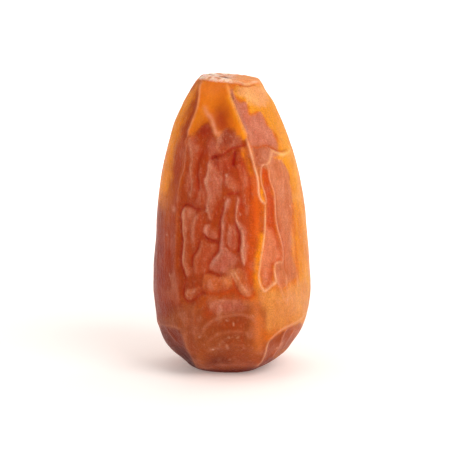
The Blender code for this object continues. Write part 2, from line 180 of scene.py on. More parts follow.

# Furrows: depth mm, reach mm, colour, strength, line width mm, points
# the colour darkens each furrow: painted shade in the crease
FURROWS = (
    (0.34, 0.42, WINE, 0.80, 0.18, ((209.6, 159.4), (212.5, 156.6), (217, 155.6), (222, 154.6), (228.4, 150.6),
        (232.3, 147.8), (237.4, 147.2), (243, 145.6), (246, 146))),
    (0.30, 0.42, (150, 36, 12), 0.95, 0.24, ((210.4, 158.4), (213.2, 157), (216.5, 156.2))),
    (0.36, 0.42, (146, 30, 10), 0.95, 0.26, ((235.2, 149.7), (234.6, 156), (233.6, 162.5), (232.6, 166.5))),
    (0.34, 0.50, (160, 46, 20), 0.85, 0.24, ((206.1, 207.4), (201, 209.4), (195.3, 209.6), (190.8, 206.4), (186, 204.2),
        (182.3, 206.8), (179.6, 211.9), (179.5, 219.5), (180, 228.5), (180.9, 237.4), (180.2, 248.9),
        (179.7, 259.7), (181.3, 269.3), (184.4, 277.4), (185.8, 281))),
    (0.32, 0.46, (164, 54, 20), 0.80, 0.24, ((185.8, 281), (183.4, 285.4), (182.2, 292), (183.5, 298), (187.5, 302),
        (190.6, 301.4), (195.5, 298.4), (200.9, 294.3), (205.6, 293.7))),
    (0.26, 0.50, (206, 92, 24), 0.75, 0.36, ((205.6, 293.7), (213, 294.2), (223.7, 293.8), (230.4, 292), (234.4, 290))),
    (0.30, 0.45, (204, 88, 18), 0.80, 0.30, ((231.8, 275), (233.6, 282), (234.6, 288), (239, 294.4), (244.4, 298.4),
        (250.6, 298.4), (254.6, 295), (256, 289))),
    (0.32, 0.42, (158, 40, 18), 0.90, 0.22, ((202.3, 234), (206.4, 238.8), (211.5, 241.2), (216.6, 241.8),
        (218.4, 244.4))),
    (0.22, 0.42, (166, 50, 24), 0.65, 0.20, ((218.4, 244.4), (218.2, 249), (214.7, 254), (210.4, 260), (208.2, 265))),
    (0.26, 0.42, (160, 46, 20), 0.75, 0.20, ((198.9, 239.3), (197.4, 246), (194.8, 252), (191.4, 256.4), (190.9, 262),
        (191.3, 268))),
    (0.26, 0.40, (158, 44, 22), 0.80, 0.20, ((223.8, 205), (222, 212.7), (219.9, 220.8), (219.3, 231), (218.9, 240))),
    (0.26, 0.42, (160, 44, 24), 0.85, 0.22, ((239.2, 192.4), (235.2, 193.6), (231, 193.4), (227, 195.6))),
    (0.30, 0.40, (158, 42, 22), 0.90, 0.22, ((234.6, 222.4), (237.4, 229), (239.3, 235.5), (239.6, 242.5), (239, 248.9),
        (237.6, 253.5))),
    (0.24, 0.42, (168, 54, 22), 0.75, 0.20, ((206.4, 271.4), (211.8, 273.1), (218.2, 275.3), (222.4, 276))),
    (0.22, 0.45, (164, 50, 24), 0.60, 0.22, ((201.4, 153), (198.2, 160.6), (196.4, 171), (197, 182), (199.6, 191))),
    (0.20, 0.40, (166, 52, 26), 0.55, 0.20, ((226.5, 199), (219, 203), (216.6, 212), (214.4, 222))),
    # the dark line beside the second keel, and the fold across the right shoulder
    (0.18, 0.32, (190, 92, 64), 0.60, 0.14, ((276.1, 186), (276.6, 198), (277.4, 211.9), (280, 229.7), (283.8, 243.8),
        (284.4, 262.9), (286.3, 271.8), (288.9, 276))),
    (0.24, 0.42, (206, 96, 40), 0.75, 0.20, ((249.3, 146.6), (258.3, 147.4), (263.4, 146.1), (267.8, 145.2),
        (271, 146.6), (274.2, 149), (278, 150.6), (282.5, 151.4), (286.4, 149.6))),
    # under the lip of the scar plate: a painted shadow
    (0.16, 0.30, (196, 96, 40), 0.75, 0.15, ((238, 84), (243.2, 85.4), (248.8, 86), (253.4, 84.6), (256, 85))),
    # dry marks beside the top of the main keel
    (0.04, 0.10, (104, 50, 40), 0.65, 0.08, ((231.6, 91.6), (232.6, 94.4))),
    (0.05, 0.10, (100, 46, 38), 0.75, 0.09, ((232, 96), (233, 98), (233.4, 100.8))),
    (0.04, 0.10, (110, 54, 42), 0.65, 0.08, ((234.6, 96.4), (235.8, 98.2))),
    (0.04, 0.10, (120, 60, 44), 0.55, 0.08, ((235.2, 91.6), (237.4, 90.8))),
    (0.04, 0.10, (116, 60, 48), 0.50, 0.08, ((234.8, 101.6), (236.4, 105))),
    (0.03, 0.10, (150, 84, 56), 0.50, 0.08, ((236.6, 86.6), (239.6, 86), (241, 87.4))),
    # the recess beside the left keel
    (0.12, 0.50, (172, 84, 54), 0.65, 0.30, ((198, 92), (195.3, 104), (190.6, 120), (185.5, 136))),
    # lower panel
    (0.16, 0.60, (176, 80, 36), 0.55, 0.36, ((200, 306), (208, 310), (214, 315))),
    (0.14, 0.50, (172, 76, 38), 0.45, 0.30, ((240, 322), (243, 335), (241, 349))),
    # the left flank's recess
    (0.10, 0.60, (160, 64, 36), 0.45, 0.34, ((171, 214), (170, 235), (170, 262))),
    (0.18, 0.45, (160, 50, 26), 0.45, 0.20, ((245, 150), (246.5, 162), (249, 175), (250.5, 190), (250, 203))),
    (0.16, 0.40, (162, 52, 28), 0.45, 0.18, ((213.5, 172), (218.5, 180), (219, 192))),
    (0.16, 0.40, (162, 52, 28), 0.40, 0.18, ((224, 167), (223, 174), (224.5, 182))),
    (0.16, 0.40, (160, 50, 28), 0.40, 0.18, ((187.6, 166), (190, 180), (189, 192))),
)

# Pads of loose skin with a rolled edge: height mm, roll mm, colour, strength,
# colour and strength of the lit edge, a painted highlight, and the closed outline
PADS = (
    (0.30, 0.40, (196, 106, 80), 0.72, (222, 152, 120), 0.55, ((181.5, 208.4), (185.3, 207.2), (190.7, 209.6), (191, 215.2),
        (188.4, 222.1), (187.2, 229.8), (187.6, 237.4), (188, 245.1), (187.6, 253.5), (187.2, 261.2),
        (188.7, 269.6), (189.1, 275), (186.6, 277), (183.8, 270.3), (181.7, 263.4), (181.3, 257.3),
        (182.2, 249.7), (183.2, 242), (182.4, 235.9), (181.5, 228.3), (180.9, 220.6), (180.7, 213))),
    (0.26, 0.42, (196, 106, 80), 0.70, (220, 150, 122), 0.50, ((209.2, 161), (211.6, 164), (214.6, 168.3), (216.7, 173),
        (218, 178), (218, 184), (216.6, 192), (216.4, 200), (215.2, 207), (213, 213), (212.1, 220.5), (209, 219.6),
        (207.3, 213), (206, 207), (206.8, 200), (206.4, 192), (204.3, 184.6), (203.9, 179.8), (206, 175.2),
        (207.4, 169.8), (207.7, 164.4))),
    (0.28, 0.38, (200, 110, 86), 0.72, (222, 150, 122), 0.50, ((204.4, 226), (206.9, 224.2), (210.6, 224.6), (212, 229),
        (216.4, 232.2), (217.9, 236.2), (217, 239.6), (212.8, 239.6), (207.5, 237.2), (203.8, 233.6), (203.1, 229))),
    (0.32, 0.42, (198, 112, 92), 0.75, (218, 150, 126), 0.50, ((226.6, 198.4), (231.2, 199.9), (230.4, 207.6),
        (227, 213), (226.4, 220.6), (225.5, 229.8), (225, 239), (226, 247.5), (231.2, 252.5), (236.6, 256),
        (236.4, 262.6), (231, 266.2), (227.4, 272.6), (223.6, 274.4), (217.4, 273), (211, 270), (208.8, 265.6),
        (210.6, 261.4), (214.8, 257.1), (219, 251.4), (219.7, 245.1), (219.9, 237.4), (220.7, 229.8),
        (220.9, 220.6), (222.8, 215), (223.8, 209.1), (224.5, 203))),
    (0.14, 0.45, (190, 98, 80), 0.45, (214, 136, 108), 0.25, ((228.1, 223.7), (232.7, 225.5), (235.6, 230.5),
        (237.3, 235.9), (237.9, 243.6), (236.4, 250.4), (232.7, 251.2), (228.3, 248.1), (226.8, 242),
        (226.8, 234.4), (227.4, 228.3))),
    (0.32, 0.40, (206, 120, 96), 0.72, (230, 164, 134), 0.55, ((237.3, 197), (239.8, 199), (239.1, 207.6), (238.1, 215.2),
        (238.9, 221), (243.2, 225), (246.8, 229.8), (247.5, 235.9), (246.8, 243.6), (246.2, 252), (246, 263.4),
        (243.9, 265.6), (241.2, 258.9), (240.6, 251.2), (241.2, 243.6), (241, 237), (239.4, 231), (237, 226),
        (235.6, 219.1), (236.1, 209.9), (236.8, 202.8))),
    (0.15, 0.90, (222, 126, 76), 0.40, (238, 166, 116), 0.15, ((230.4, 270.2), (236, 267.8), (241.2, 268.6), (245, 271.5),
        (248.4, 278), (250.4, 285), (252, 290.6), (250.8, 296), (246, 297.2), (241, 294.8),
        (238, 288.5), (234.6, 283.4), (232.4, 277.6))),
    (0.30, 0.50, (206, 106, 64), 0.65, (226, 136, 84), 0.35, ((203.7, 275.2), (209.4, 274), (218.6, 277.4),
        (224.7, 277), (229.6, 278.4), (232, 282.6), (231.6, 287.2), (226.6, 290.8), (215.9, 292.1),
        (206.7, 292), (202.4, 287.9), (202.1, 280.3))),
    (0.11, 0.45, (186, 92, 58), 0.35, (218, 142, 100), 0.25, ((184.7, 291.8), (188.4, 288.9), (195.2, 287.7),
        (199.1, 285.4), (200.8, 288.3), (198.5, 292.2), (193.4, 296.6), (188.6, 299.8), (185, 298.4), (183.4, 294.8))),
    (0.20, 0.45, (190, 92, 64), 0.50, (206, 122, 90), 0.30, ((200.6, 239.4), (203.7, 239.6), (209.4, 243.6), (215.5, 244.4),
        (217.6, 248.9), (214.5, 254), (209.4, 260.6), (207.3, 266.5), (205.7, 272), (200.6, 274), (195, 273.8),
        (192.8, 266.5), (192.8, 259.4), (196.4, 253), (199, 246))),
    (0.08, 0.60, (176, 88, 68), 0.18, (206, 130, 104), 0.05, ((220.6, 134.6), (225.9, 131.9), (231.3, 132.3),
        (234, 137.7), (234.7, 144.6), (229.8, 149.1), (225.2, 152.2), (220.6, 153.7), (214.4, 154.3), (209.9, 153.7),
        (207.6, 149.1), (207.9, 143.4), (210.6, 139.2), (212.9, 136.6))),
    (0.22, 0.38, (190, 102, 76), 0.55, (212, 140, 108), 0.40, ((189.2, 138.7), (191.5, 137.4), (192.8, 140.4),
        (196.1, 144.3), (199.9, 145.9), (200.5, 149.9), (199.3, 152.6), (196.5, 154), (195.5, 160), (194, 170),
        (194.4, 182), (195, 194), (192, 199), (188.4, 196), (189.6, 184), (188.6, 172), (190.6, 162), (190.9, 154.5),
        (190.3, 149.1), (189.2, 144.5))),
    (0.14, 0.60, (204, 116, 86), 0.40, (216, 140, 110), 0.25, ((225.2, 177.4), (229.8, 176.3), (235.5, 179.6),
        (237.8, 184.8), (236.8, 189.4), (230.6, 189.6), (226.4, 186.6), (223.9, 182))),
    (0.18, 0.45, (186, 82, 54), 0.45, (206, 116, 84), 0.30, ((236, 166), (241, 164), (245.6, 170), (247.6, 184),
        (247, 198), (243.4, 207), (241.6, 198), (241.6, 188), (239.4, 176))),
    (0.16, 0.45, (186, 84, 58), 0.45, (206, 118, 86), 0.30, ((199.4, 162), (202.6, 168), (202, 180), (204, 192),
        (203.6, 202), (199.6, 205), (197.8, 196), (199, 184), (198.2, 172))),
    (0.16, 0.45, (178, 76, 50), 0.40, (202, 112, 82), 0.25, ((196, 214), (201, 213), (204.6, 218), (202.4, 226),
        (200, 235), (196.4, 243), (192, 249), (190.6, 240), (192, 228), (193.6, 219))),
    (0.16, 0.45, (180, 78, 52), 0.40, (202, 112, 82), 0.25, ((219.4, 158), (226, 155.4), (230.6, 158), (231.4, 166),
        (229.6, 172.6), (223.4, 173), (219.6, 167))),
    (0.16, 0.55, (196, 102, 84), 0.45, (212, 136, 108), 0.25, ((213, 301.5), (222, 299.8), (234, 300), (243.6, 303.5),
        (247, 309), (240, 312.5), (226, 314.2), (215, 315), (209, 310))),
)

# Puffs and hollows: push mm (negative is a hollow), reach mm, points
PUFFS = (
    (-0.50, 3.0, ((216, 104), (215, 124))),
    (-0.34, 2.6, ((288, 345), (284, 350))),
    (-0.30, 2.4, ((172, 342), (182, 354))),
    (-0.18, 2.0, ((214, 358), (228, 358))),
    (0.24, 1.4, ((200, 345), (203, 364))),
    (0.16, 0.9, ((272, 228), (270, 250))),
    (-0.16, 0.9, ((266, 180), (267, 192))),
    (-0.20, 1.0, ((270, 215), (273, 250))),
    (-0.18, 2.2, ((262, 118), (268, 134))),
    (-0.14, 1.8, ((284, 195), (286, 240))),
    (-0.26, 1.6, ((220, 325), (238, 323.6), (246, 325))),
    (-0.12, 1.2, ((224, 339.6), (240, 338.6))),
    (0.20, 1.6, ((272, 305), (290, 300))),
)

# ---- lines of the sides and back: (height, reach left, right, sharpness, points in degrees
# and mm of height). 0 degrees is the right, 90 the back, 180 the left, 270 the front.
ROUND = (
    (0.55, 1.3, 0.9, 1.2, ((22, 40.6), (26, 36), (31, 30), (27, 24), (33, 17), (30, 10), (38, 4))),
    (0.65, 0.9, 1.5, 1.2, ((66, 41.0), (63, 36), (70, 29), (76, 22), (70, 15), (75, 8), (68, 3))),
    (0.55, 1.4, 0.9, 1.2, ((108, 41.0), (113, 35), (106, 28), (112, 21), (119, 14), (113, 7))),
    (0.60, 0.9, 1.4, 1.2, ((150, 40.8), (146, 35), (152, 28), (147, 20), (155, 12), (149, 5))),
    (-0.45, 1.1, 1.1, 1.5, ((46, 38), (50, 31), (46, 24), (53, 16), (49, 9))),
    (-0.50, 1.1, 1.1, 1.5, ((90, 37), (94, 30), (89, 24), (95, 18), (91, 11))),
    (-0.45, 1.1, 1.1, 1.5, ((130, 38), (127, 31), (132, 24), (128, 16), (134, 9))),
    (-0.40, 1.1, 1.1, 1.5, ((168, 36), (171, 29), (166, 22), (170, 14))),
    (-0.30, 1.1, 1.1, 1.5, ((8, 34), (5, 27), (10, 20), (7, 13))),
    # cross creases between them
    (0.24, 0.6, 0.6, 1.3, ((27, 24), (40, 22.5), (55, 24.5), (76, 22))),
    (0.22, 0.5, 0.6, 1.3, ((31, 30), (44, 28), (57, 30.5), (70, 29))),
    (0.22, 0.6, 0.5, 1.3, ((33, 17), (45, 13.5), (58, 14.5), (70, 15))),
    (0.24, 0.6, 0.6, 1.3, ((63, 36), (78, 33), (92, 34.5), (113, 35))),
    (0.22, 0.5, 0.6, 1.3, ((76, 22), (86, 26), (97, 25), (106, 28))),
    (0.24, 0.6, 0.5, 1.3, ((70, 15), (84, 12.5), (100, 15), (119, 14))),
    (0.22, 0.5, 0.6, 1.3, ((106, 28), (118, 25), (134, 27), (152, 28))),
    (0.24, 0.6, 0.6, 1.3, ((112, 21), (126, 19.5), (138, 21), (147, 20))),
    (0.22, 0.5, 0.5, 1.3, ((119, 14), (133, 11), (143, 13), (155, 12))),
    (0.20, 0.5, 0.5, 1.3, ((147, 20), (160, 17.5), (176, 18.5), (190, 15))),
    (0.20, 0.5, 0.5, 1.3, ((152, 28), (165, 30.5), (178, 28.5), (193, 31))),
    (0.18, 0.5, 0.5, 1.3, ((155, 12), (170, 9), (186, 10.5), (200, 8))),
    (0.20, 0.5, 0.5, 1.3, ((27, 24), (15, 22.5), (4, 24.5), (-9, 22))),
    (0.18, 0.5, 0.5, 1.3, ((30, 10), (17, 8), (5, 10), (-10, 8))),
    (0.16, 0.5, 0.5, 1.3, ((26, 36), (14, 34), (2, 35), (-8, 33.5))),
    # where the blunt end turns under
    (0.30, 0.7, 1.2, 1.3, ((-8, 6.2), (12, 4.8), (33, 5.6), (52, 3.8), (72, 4.6))),
    (0.30, 0.7, 1.2, 1.3, ((72, 4.6), (95, 3.6), (116, 4.8), (138, 3.8), (160, 5.2), (180, 6.2))),
)


def srgb(colour):
    """Linear colour of the skin itself, less the even sheen that the light puts on it."""
    c = np.array(colour, float) / 255
    c = np.where(c <= 0.04045, c / 12.92, ((c + 0.055) / 1.055) ** 2.4)
    return np.maximum(c - SHEEN, 0.003)


# ---- the body ---------------------------------------------------------------------------
def smooth_table(at, x, y):
    """Monotone cubic through the points (x, y), read at `at`."""
    h, d = np.diff(x), np.diff(y) / np.diff(x)
    m = np.zeros(len(x))
    m[0], m[-1] = d[0], d[-1]
    same = d[:-1] * d[1:] > 0
    w1, w2 = 2 * h[1:] + h[:-1], h[1:] + 2 * h[:-1]
    safe = np.where(same, d[:-1], 1.0), np.where(same, d[1:], 1.0)
    m[1:-1] = np.where(same, (w1 + w2) / (w1 / safe[0] + w2 / safe[1]), 0.0)
    i = np.clip(np.searchsorted(x, at) - 1, 0, len(x) - 2)
    t = (at - x[i]) / h[i]
    return ((1 + 2 * t) * (1 - t) ** 2 * y[i] + t * (1 - t) ** 2 * h[i] * m[i]
            + t * t * (3 - 2 * t) * y[i + 1] + t * t * (t - 1) * h[i] * m[i + 1])


TABLE = np.array(STATIONS)
ALONG = np.concatenate([[0.0], np.cumsum(np.hypot(np.diff(TABLE[:, 0]), np.diff(TABLE[:, 1:].mean(1))))])


def section(u):
    return [smooth_table(u, ALONG, TABLE[:, k]) for k in range(5)]


def tilted(p):
    share = np.clip((p[:, 2] - PLATE_FROM) / (PLATE_AT - PLATE_FROM), 0, 1)
    share = share * share * (3 - 2 * share)
    out = p.copy()
    out[:, 2] += share * (TOP_SLOPE_X * p[:, 0] + TOP_SLOPE_Y * p[:, 1])
    return out


def body_point(angle, u):
    z, left, right, front, back = section(u)
    c, s = np.cos(angle), np.sin(angle)
    wide = np.where(c < 0, left, right)
    deep = np.where(s < 0, front, back)
    r = wide * deep / np.maximum(np.hypot(deep * c, wide * s), 1e-9)
    return tilted(np.stack([r * c, r * s, z], 1))


def outline_share():
    u = np.linspace(0, ALONG[-1], 900)
    z, left, right, front, back = section(u)
    r = (left + right + front + back) / 4
    step = np.hypot(np.diff(r), np.diff(z))
    area = np.concatenate([[0.0], np.cumsum((r[1:] + r[:-1]) / 2 * step)])
    return u, area / area[-1]


def length_at_height(z):
    u = np.linspace(ALONG[1], ALONG[-3], 900)
    return np.interp(z, section(u)[0], u)


def on_sheet(p):
    c, s = math.cos(EYE_ELEVATION), math.sin(EYE_ELEVATION)
    q = p - np.array(EYE_TARGET)
    depth = EYE_DISTANCE + q[:, 1] * c - q[:, 2] * s
    k = SHEET_SCALE * EYE_DISTANCE / depth
    return np.stack([SHEET_MIDDLE[0] + k * q[:, 0], SHEET_MIDDLE[1] - k * (q[:, 1] * s + q[:, 2] * c)], 1)


def from_sheet(drawn):
    """The point of the front skin that is drawn there, found by stepping to it."""
    drawn = np.asarray(drawn, float)
    x = (drawn[:, 0] - SHEET_MIDDLE[0]) / SHEET_SCALE + EYE_TARGET[0]
    z = (SHEET_MIDDLE[1] - drawn[:, 1]) / SHEET_SCALE + EYE_TARGET[2]
    p = None
    for _ in range(16):
        _, left, right, front, back = section(length_at_height(z))
        x = np.clip(x, -left * 0.9995, right * 0.9995)
        wide = np.where(x < 0, left, right)
        y = -front * np.sqrt(np.clip(1 - (x / np.maximum(wide, 1e-6)) ** 2, 0, 1))
        p = tilted(np.stack([x, y, z], 1))
        off = drawn - on_sheet(p)
        x = x + off[:, 0] / SHEET_SCALE * 0.9
        z = np.clip(z - off[:, 1] / SHEET_SCALE * 0.9, 0.0, 41.8)
    return p


def curve_through(points, step):
    p = np.asarray(points, float)
    p = np.concatenate([[2 * p[0] - p[1]], p, [2 * p[-1] - p[-2]]])
    out = []
    for a, b, c, d in zip(p[:-3], p[1:-2], p[2:-1], p[3:]):
        n = max(2, int(np.linalg.norm(c - b) / step))
        t = (np.arange(n) / n)[:, None]
        out.append(0.5 * (2 * b + (c - a) * t + (2 * a - 5 * b + 4 * c - d) * t ** 2
                          + (3 * b - a - 3 * c + d) * t ** 3))
    return np.concatenate(out + [p[-2:-1]])


class Skin:
    """The fine points of the body, with what is pushed and painted on them."""

    def __init__(self, points, normals):
        self.points, self.normals = points, normals
        self.push = np.zeros(len(points))
        self.colour = np.zeros((len(points), 3))
        self.grain = np.full(len(points), 0.35)    # how granular the skin looks there
        self.sheet = on_sheet(points)
        eye = np.array(EYE_TARGET) + EYE_DISTANCE * np.array([0, -math.cos(EYE_ELEVATION), math.sin(EYE_ELEVATION)])
        look = eye - points
        look /= np.linalg.norm(look, axis=1)[:, None]
        facing = (normals * look).sum(1)
        # 1 on the front, fading out past its edge
        self.front = np.clip((facing + 0.12) / 0.25, 0, 1)
        # 1 where it can't be seen from the front
        self.hidden = step(facing, -0.12, -0.42)
        self.angle = np.degrees(np.arctan2(points[:, 1], points[:, 0])) % 360
        self.noise = Noise(20)

    def near(self, line, reach):
        low, high = line.min(0) - reach, line.max(0) + reach
        return np.where(((self.points > low) & (self.points < high)).all(1))[0]

    def distance(self, line, reach):
        """For the points near a line: index, distance, which side, and how far along."""
        index = self.near(line, reach)
        p, n = self.points[index], self.normals[index]
        best = np.full(len(p), 1e9)
        side = np.zeros(len(p))
        along = np.zeros(len(p))
        a, b = line[:-1], line[1:]
        for k in range(len(a)):
            d = b[k] - a[k]
            close = np.where(np.abs(p - (a[k] + b[k]) / 2).max(1) < reach + np.abs(d).max())[0]
            if not len(close):
                continue
            q = p[close] - a[k]
            t = np.clip((q @ d) / max(d @ d, 1e-12), 0, 1)
            off = q - t[:, None] * d
            far = np.linalg.norm(off, axis=1)
            better = far < best[close]
            chosen = close[better]
            best[chosen] = far[better]
            side[chosen] = (np.cross(n[chosen], np.broadcast_to(d, (len(chosen), 3))) * off[better]).sum(1)
            along[chosen] = (k + t[better]) / len(a)
        return index, best, side, along

    def line(self, line, height, left, right, sharp, ends=0.08):
        index, far, side, along = self.distance(line, 3.6 * max(left, right))
        spread = np.where(side > 0, left, right)
        fade = np.clip(np.minimum(along, 1 - along) / ends, 0, 1) * 0.7 + 0.3 if ends else 1.0
        self.push[index] += height * fade * np.exp(-(far / spread) ** sharp)
        return index, far, along

    def paint(self, index, colour, amount):
        a = np.clip(amount, 0, 1)[:, None]
        self.colour[index] = self.colour[index] * (1 - a) + srgb(colour) * a

    def area(self, polygon, soft, colour, strength, wobble=2.0, grain=None):
        """Paints inside a closed outline on the elevation sheet, with a soft, uneven edge."""
        poly = curve_through(list(polygon) + [polygon[0]], 6.0)
        pad = soft * 2 + wobble
        low, high = poly.min(0) - pad, poly.max(0) + pad
        index = np.where(((self.sheet > low) & (self.sheet < high)).all(1) & (self.front > 0))[0]
        p = self.sheet[index]
        inside = np.zeros(len(p), bool)
        best = np.full(len(p), 1e9)
        for a, b in zip(poly, np.roll(poly, -1, 0)):
            crosses = (a[1] > p[:, 1]) != (b[1] > p[:, 1])
            with np.errstate(divide="ignore", invalid="ignore"):
                x = (b[0] - a[0]) * (p[:, 1] - a[1]) / (b[1] - a[1]) + a[0]
            inside ^= crosses & (p[:, 0] < x)
            d = b - a
            t = np.clip(((p - a) @ d) / max(d @ d, 1e-12), 0, 1)
            best = np.minimum(best, np.linalg.norm(p - a - t[:, None] * d, axis=1))
        at = self.points[index]
        signed = np.where(inside, best, -best) + 1.5 * wobble * self.noise.at(at, 0.55, 4)
        signed += 1.6 * self.noise.at(at * np.array([1, 1, 0.5]), 1.9, 3, 51.0)
        mask = np.clip(signed / soft + 0.5, 0, 1)
        mask = mask * mask * (3 - 2 * mask) * self.front[index]
        self.paint(index, colour, mask * strength)
        if grain is not None:
            self.grain[index] += (grain - self.grain[index]) * mask

    def spot(self, centre, radii, turn, colour, strength, grain=None, ragged=0.35):
        """Paints a soft uneven oval on the elevation sheet; radii in sheet units, turn in degrees."""
        index = np.where((np.abs(self.sheet - centre).max(1) < 2.4 * max(radii)) & (self.front > 0))[0]
        c, q = math.cos(math.radians(turn)), math.sin(math.radians(turn))
        x, y = (self.sheet[index] - centre).T
        r = np.hypot((x * c + y * q) / radii[0], (-x * q + y * c) / radii[1])
        r = r * np.exp(ragged * self.noise.at(self.points[index], 0.7, 4, 7.0))
        mask = np.exp(-(r / 0.92) ** 2.0) * self.front[index]
        self.paint(index, colour, strength * mask)
        if grain is not None:
            self.grain[index] += (grain - self.grain[index]) * mask

    def pad(self, outline, height, roll, colour, strength, lit_rim_colour, lit_rim_strength):
        """A pad of loose skin: raised inside a closed outline, with a rolled edge. Its colour is painted
        stronger in the middle and near the upper left edge, a painted shading of the dome. The edge is
        painted paler where it faces up and left, a painted highlight that is partly the loose skin's own
        paler colour, and just outside it the skin is painted darker, a painted shade at the pad's foot."""
        poly = curve_through(list(outline) + [outline[0]], 1.5)
        low, high = poly.min(0) - 9, poly.max(0) + 9
        index = np.where(((self.sheet > low) & (self.sheet < high)).all(1) & (self.front > 0))[0]
        p = self.sheet[index]
        p = p + 0.8 * np.stack([self.noise.at(self.points[index], 0.8, 2, 3.0), self.noise.at(self.points[index], 0.8, 2, 9.0)], 1)
        inside = np.zeros(len(p), bool)
        best = np.full(len(p), 1e9)
        out = np.zeros((len(p), 2))
        for a, b in zip(poly, np.roll(poly, -1, 0)):
            crosses = (a[1] > p[:, 1]) != (b[1] > p[:, 1])
            with np.errstate(divide="ignore", invalid="ignore"):
                x = (b[0] - a[0]) * (p[:, 1] - a[1]) / (b[1] - a[1]) + a[0]
            inside ^= crosses & (p[:, 0] < x)
            d = b - a
            t = np.clip(((p - a) @ d) / max(d @ d, 1e-12), 0, 1)
            off = p - a - t[:, None] * d
            far = np.linalg.norm(off, axis=1)
            better = far < best
            best[better] = far[better]
            out[better] = off[better]
        mm = best / SHEET_SCALE
        outward = np.where(inside, -1, 1)[:, None] * out / np.maximum(best, 1e-6)[:, None]
        facing = np.clip(outward @ np.array([-0.88, -0.47]), -1, 1)
        signed = np.where(inside, mm, -mm)
        front = self.front[index]
        at = self.points[index]
        rise = np.where(inside, 1 - 0.55 * np.exp(-(mm / (1.4 * roll)) ** 1.3), 0.45 * np.exp(-(mm / (0.5 * roll)) ** 1.2))
        self.push[index] += height * (rise - 0.25) * front * step(signed, -1.1, -0.2)
        streaky = self.noise.at(at * np.array([1, 1, 0.30]), 2.1, 3, 21.0)
        broken = self.noise.at(at, 0.6, 2, 61.0)
        # the fill is painted stronger in the middle and near the upper left edge: painted shading of the dome
        dome = 0.45 + 0.55 * step(signed, 0.05, 0.75) + 0.25 * facing * step(signed, 0.7, 0.1)
        fill = step(signed, -0.14, 0.34) * dome * np.clip(0.92 + 0.8 * streaky, 0, 1.3)
        self.paint(index, colour, strength * fill * front)
        # a broad pale band inside the edge where it faces up and left: painted highlight
        broad_highlight = np.exp(-((signed - 0.42) / 0.38) ** 2) * (0.25 + 0.75 * np.clip(facing, 0, 1)) * np.clip(0.8 + 1.3 * streaky, 0, 1.4)
        self.paint(index, lit_rim_colour, 1.30 * lit_rim_strength * broad_highlight * front)
        self.grain[index] += (0.9 - self.grain[index]) * step(signed, -0.1, 0.3) * front
        # the rolled edge, paler where it faces up and left: painted highlight, partly the loose skin's own paler colour
        edge = np.exp(-((signed - 0.22) / 0.20) ** 2) * (0.2 + 0.8 * np.clip(facing, 0, 1)) * np.clip(0.9 + 1.1 * broken, 0.1, 1.4)
        self.paint(index, lit_rim_colour, lit_rim_strength * edge * front)
        # just outside the edge the skin is painted darker: painted shade at the pad's foot
        dark = np.exp(-((signed + 0.13) / 0.11) ** 2) * (0.45 + 0.4 * facing) * np.clip(0.7 + 1.4 * broken, 0, 1.4)
        self.paint(index, BRICK, 0.45 * np.clip(dark, 0, 1) * front)

    def band(self, drawn, width, colour, strength, wobble=1.0):
        """Paints a soft band along a line on the elevation sheet; width in sheet units."""
        line = curve_through(drawn, 4.0)
        low, high = line.min(0) - 3 * width, line.max(0) + 3 * width
        index = np.where(((self.sheet > low) & (self.sheet < high)).all(1) & (self.front > 0))[0]
        p = self.sheet[index]
        best = np.full(len(p), 1e9)
        for a, b in zip(line[:-1], line[1:]):
            d = b - a
            t = np.clip(((p - a) @ d) / max(d @ d, 1e-12), 0, 1)
            best = np.minimum(best, np.linalg.norm(p - a - t[:, None] * d, axis=1))
        best = np.maximum(best + wobble * self.noise.at(self.points[index], 0.7, 2), 0)
        self.paint(index, colour, strength * np.exp(-(best / width) ** 2) * self.front[index])


class Noise:
    """Seeded value noise and cell noise in mm."""

    def __init__(self, seed):
        self.table = np.random.default_rng(seed).random((64, 64, 64))
        self.jitter = np.random.default_rng(seed + 1).random((32, 32, 32, 3))

    def one(self, p):
        i = np.floor(p).astype(int)
        f = p - i
        f = f * f * (3 - 2 * f)
        out = np.zeros(len(p))
        for dx in (0, 1):
            for dy in (0, 1):
                for dz in (0, 1):
                    w = (np.where(dx, f[:, 0], 1 - f[:, 0]) * np.where(dy, f[:, 1], 1 - f[:, 1])
                         * np.where(dz, f[:, 2], 1 - f[:, 2]))
                    out += w * self.table[(i[:, 0] + dx) % 64, (i[:, 1] + dy) % 64, (i[:, 2] + dz) % 64]
        return out * 2 - 1

    def at(self, p, scale, octaves=3, shift=0.0):
        total, weight, out = 0.0, 1.0, np.zeros(len(p))
        for k in range(octaves):
            out += weight * self.one(p * scale * 2 ** k + 17.3 * (k + 1) + shift)
            total += weight
            weight *= 0.5
        return out / total

    def cells(self, p):
        """Distances to the nearest and second nearest of the scattered cell centres."""
        i = np.floor(p).astype(int)
        first, second = np.full(len(p), 9.0), np.full(len(p), 9.0)
        for dx in (-1, 0, 1):
            for dy in (-1, 0, 1):
                for dz in (-1, 0, 1):
                    c = i + (dx, dy, dz)
                    centre = c + self.jitter[c[:, 0] % 32, c[:, 1] % 32, c[:, 2] % 32]
                    d = np.linalg.norm(p - centre, axis=1)
                    second = np.minimum(second, np.maximum(first, d))
                    first = np.minimum(first, d)
        return first, second


def step(x, low, high):
    t = np.clip((x - low) / (high - low), 0, 1)
    return t * t * (3 - 2 * t)


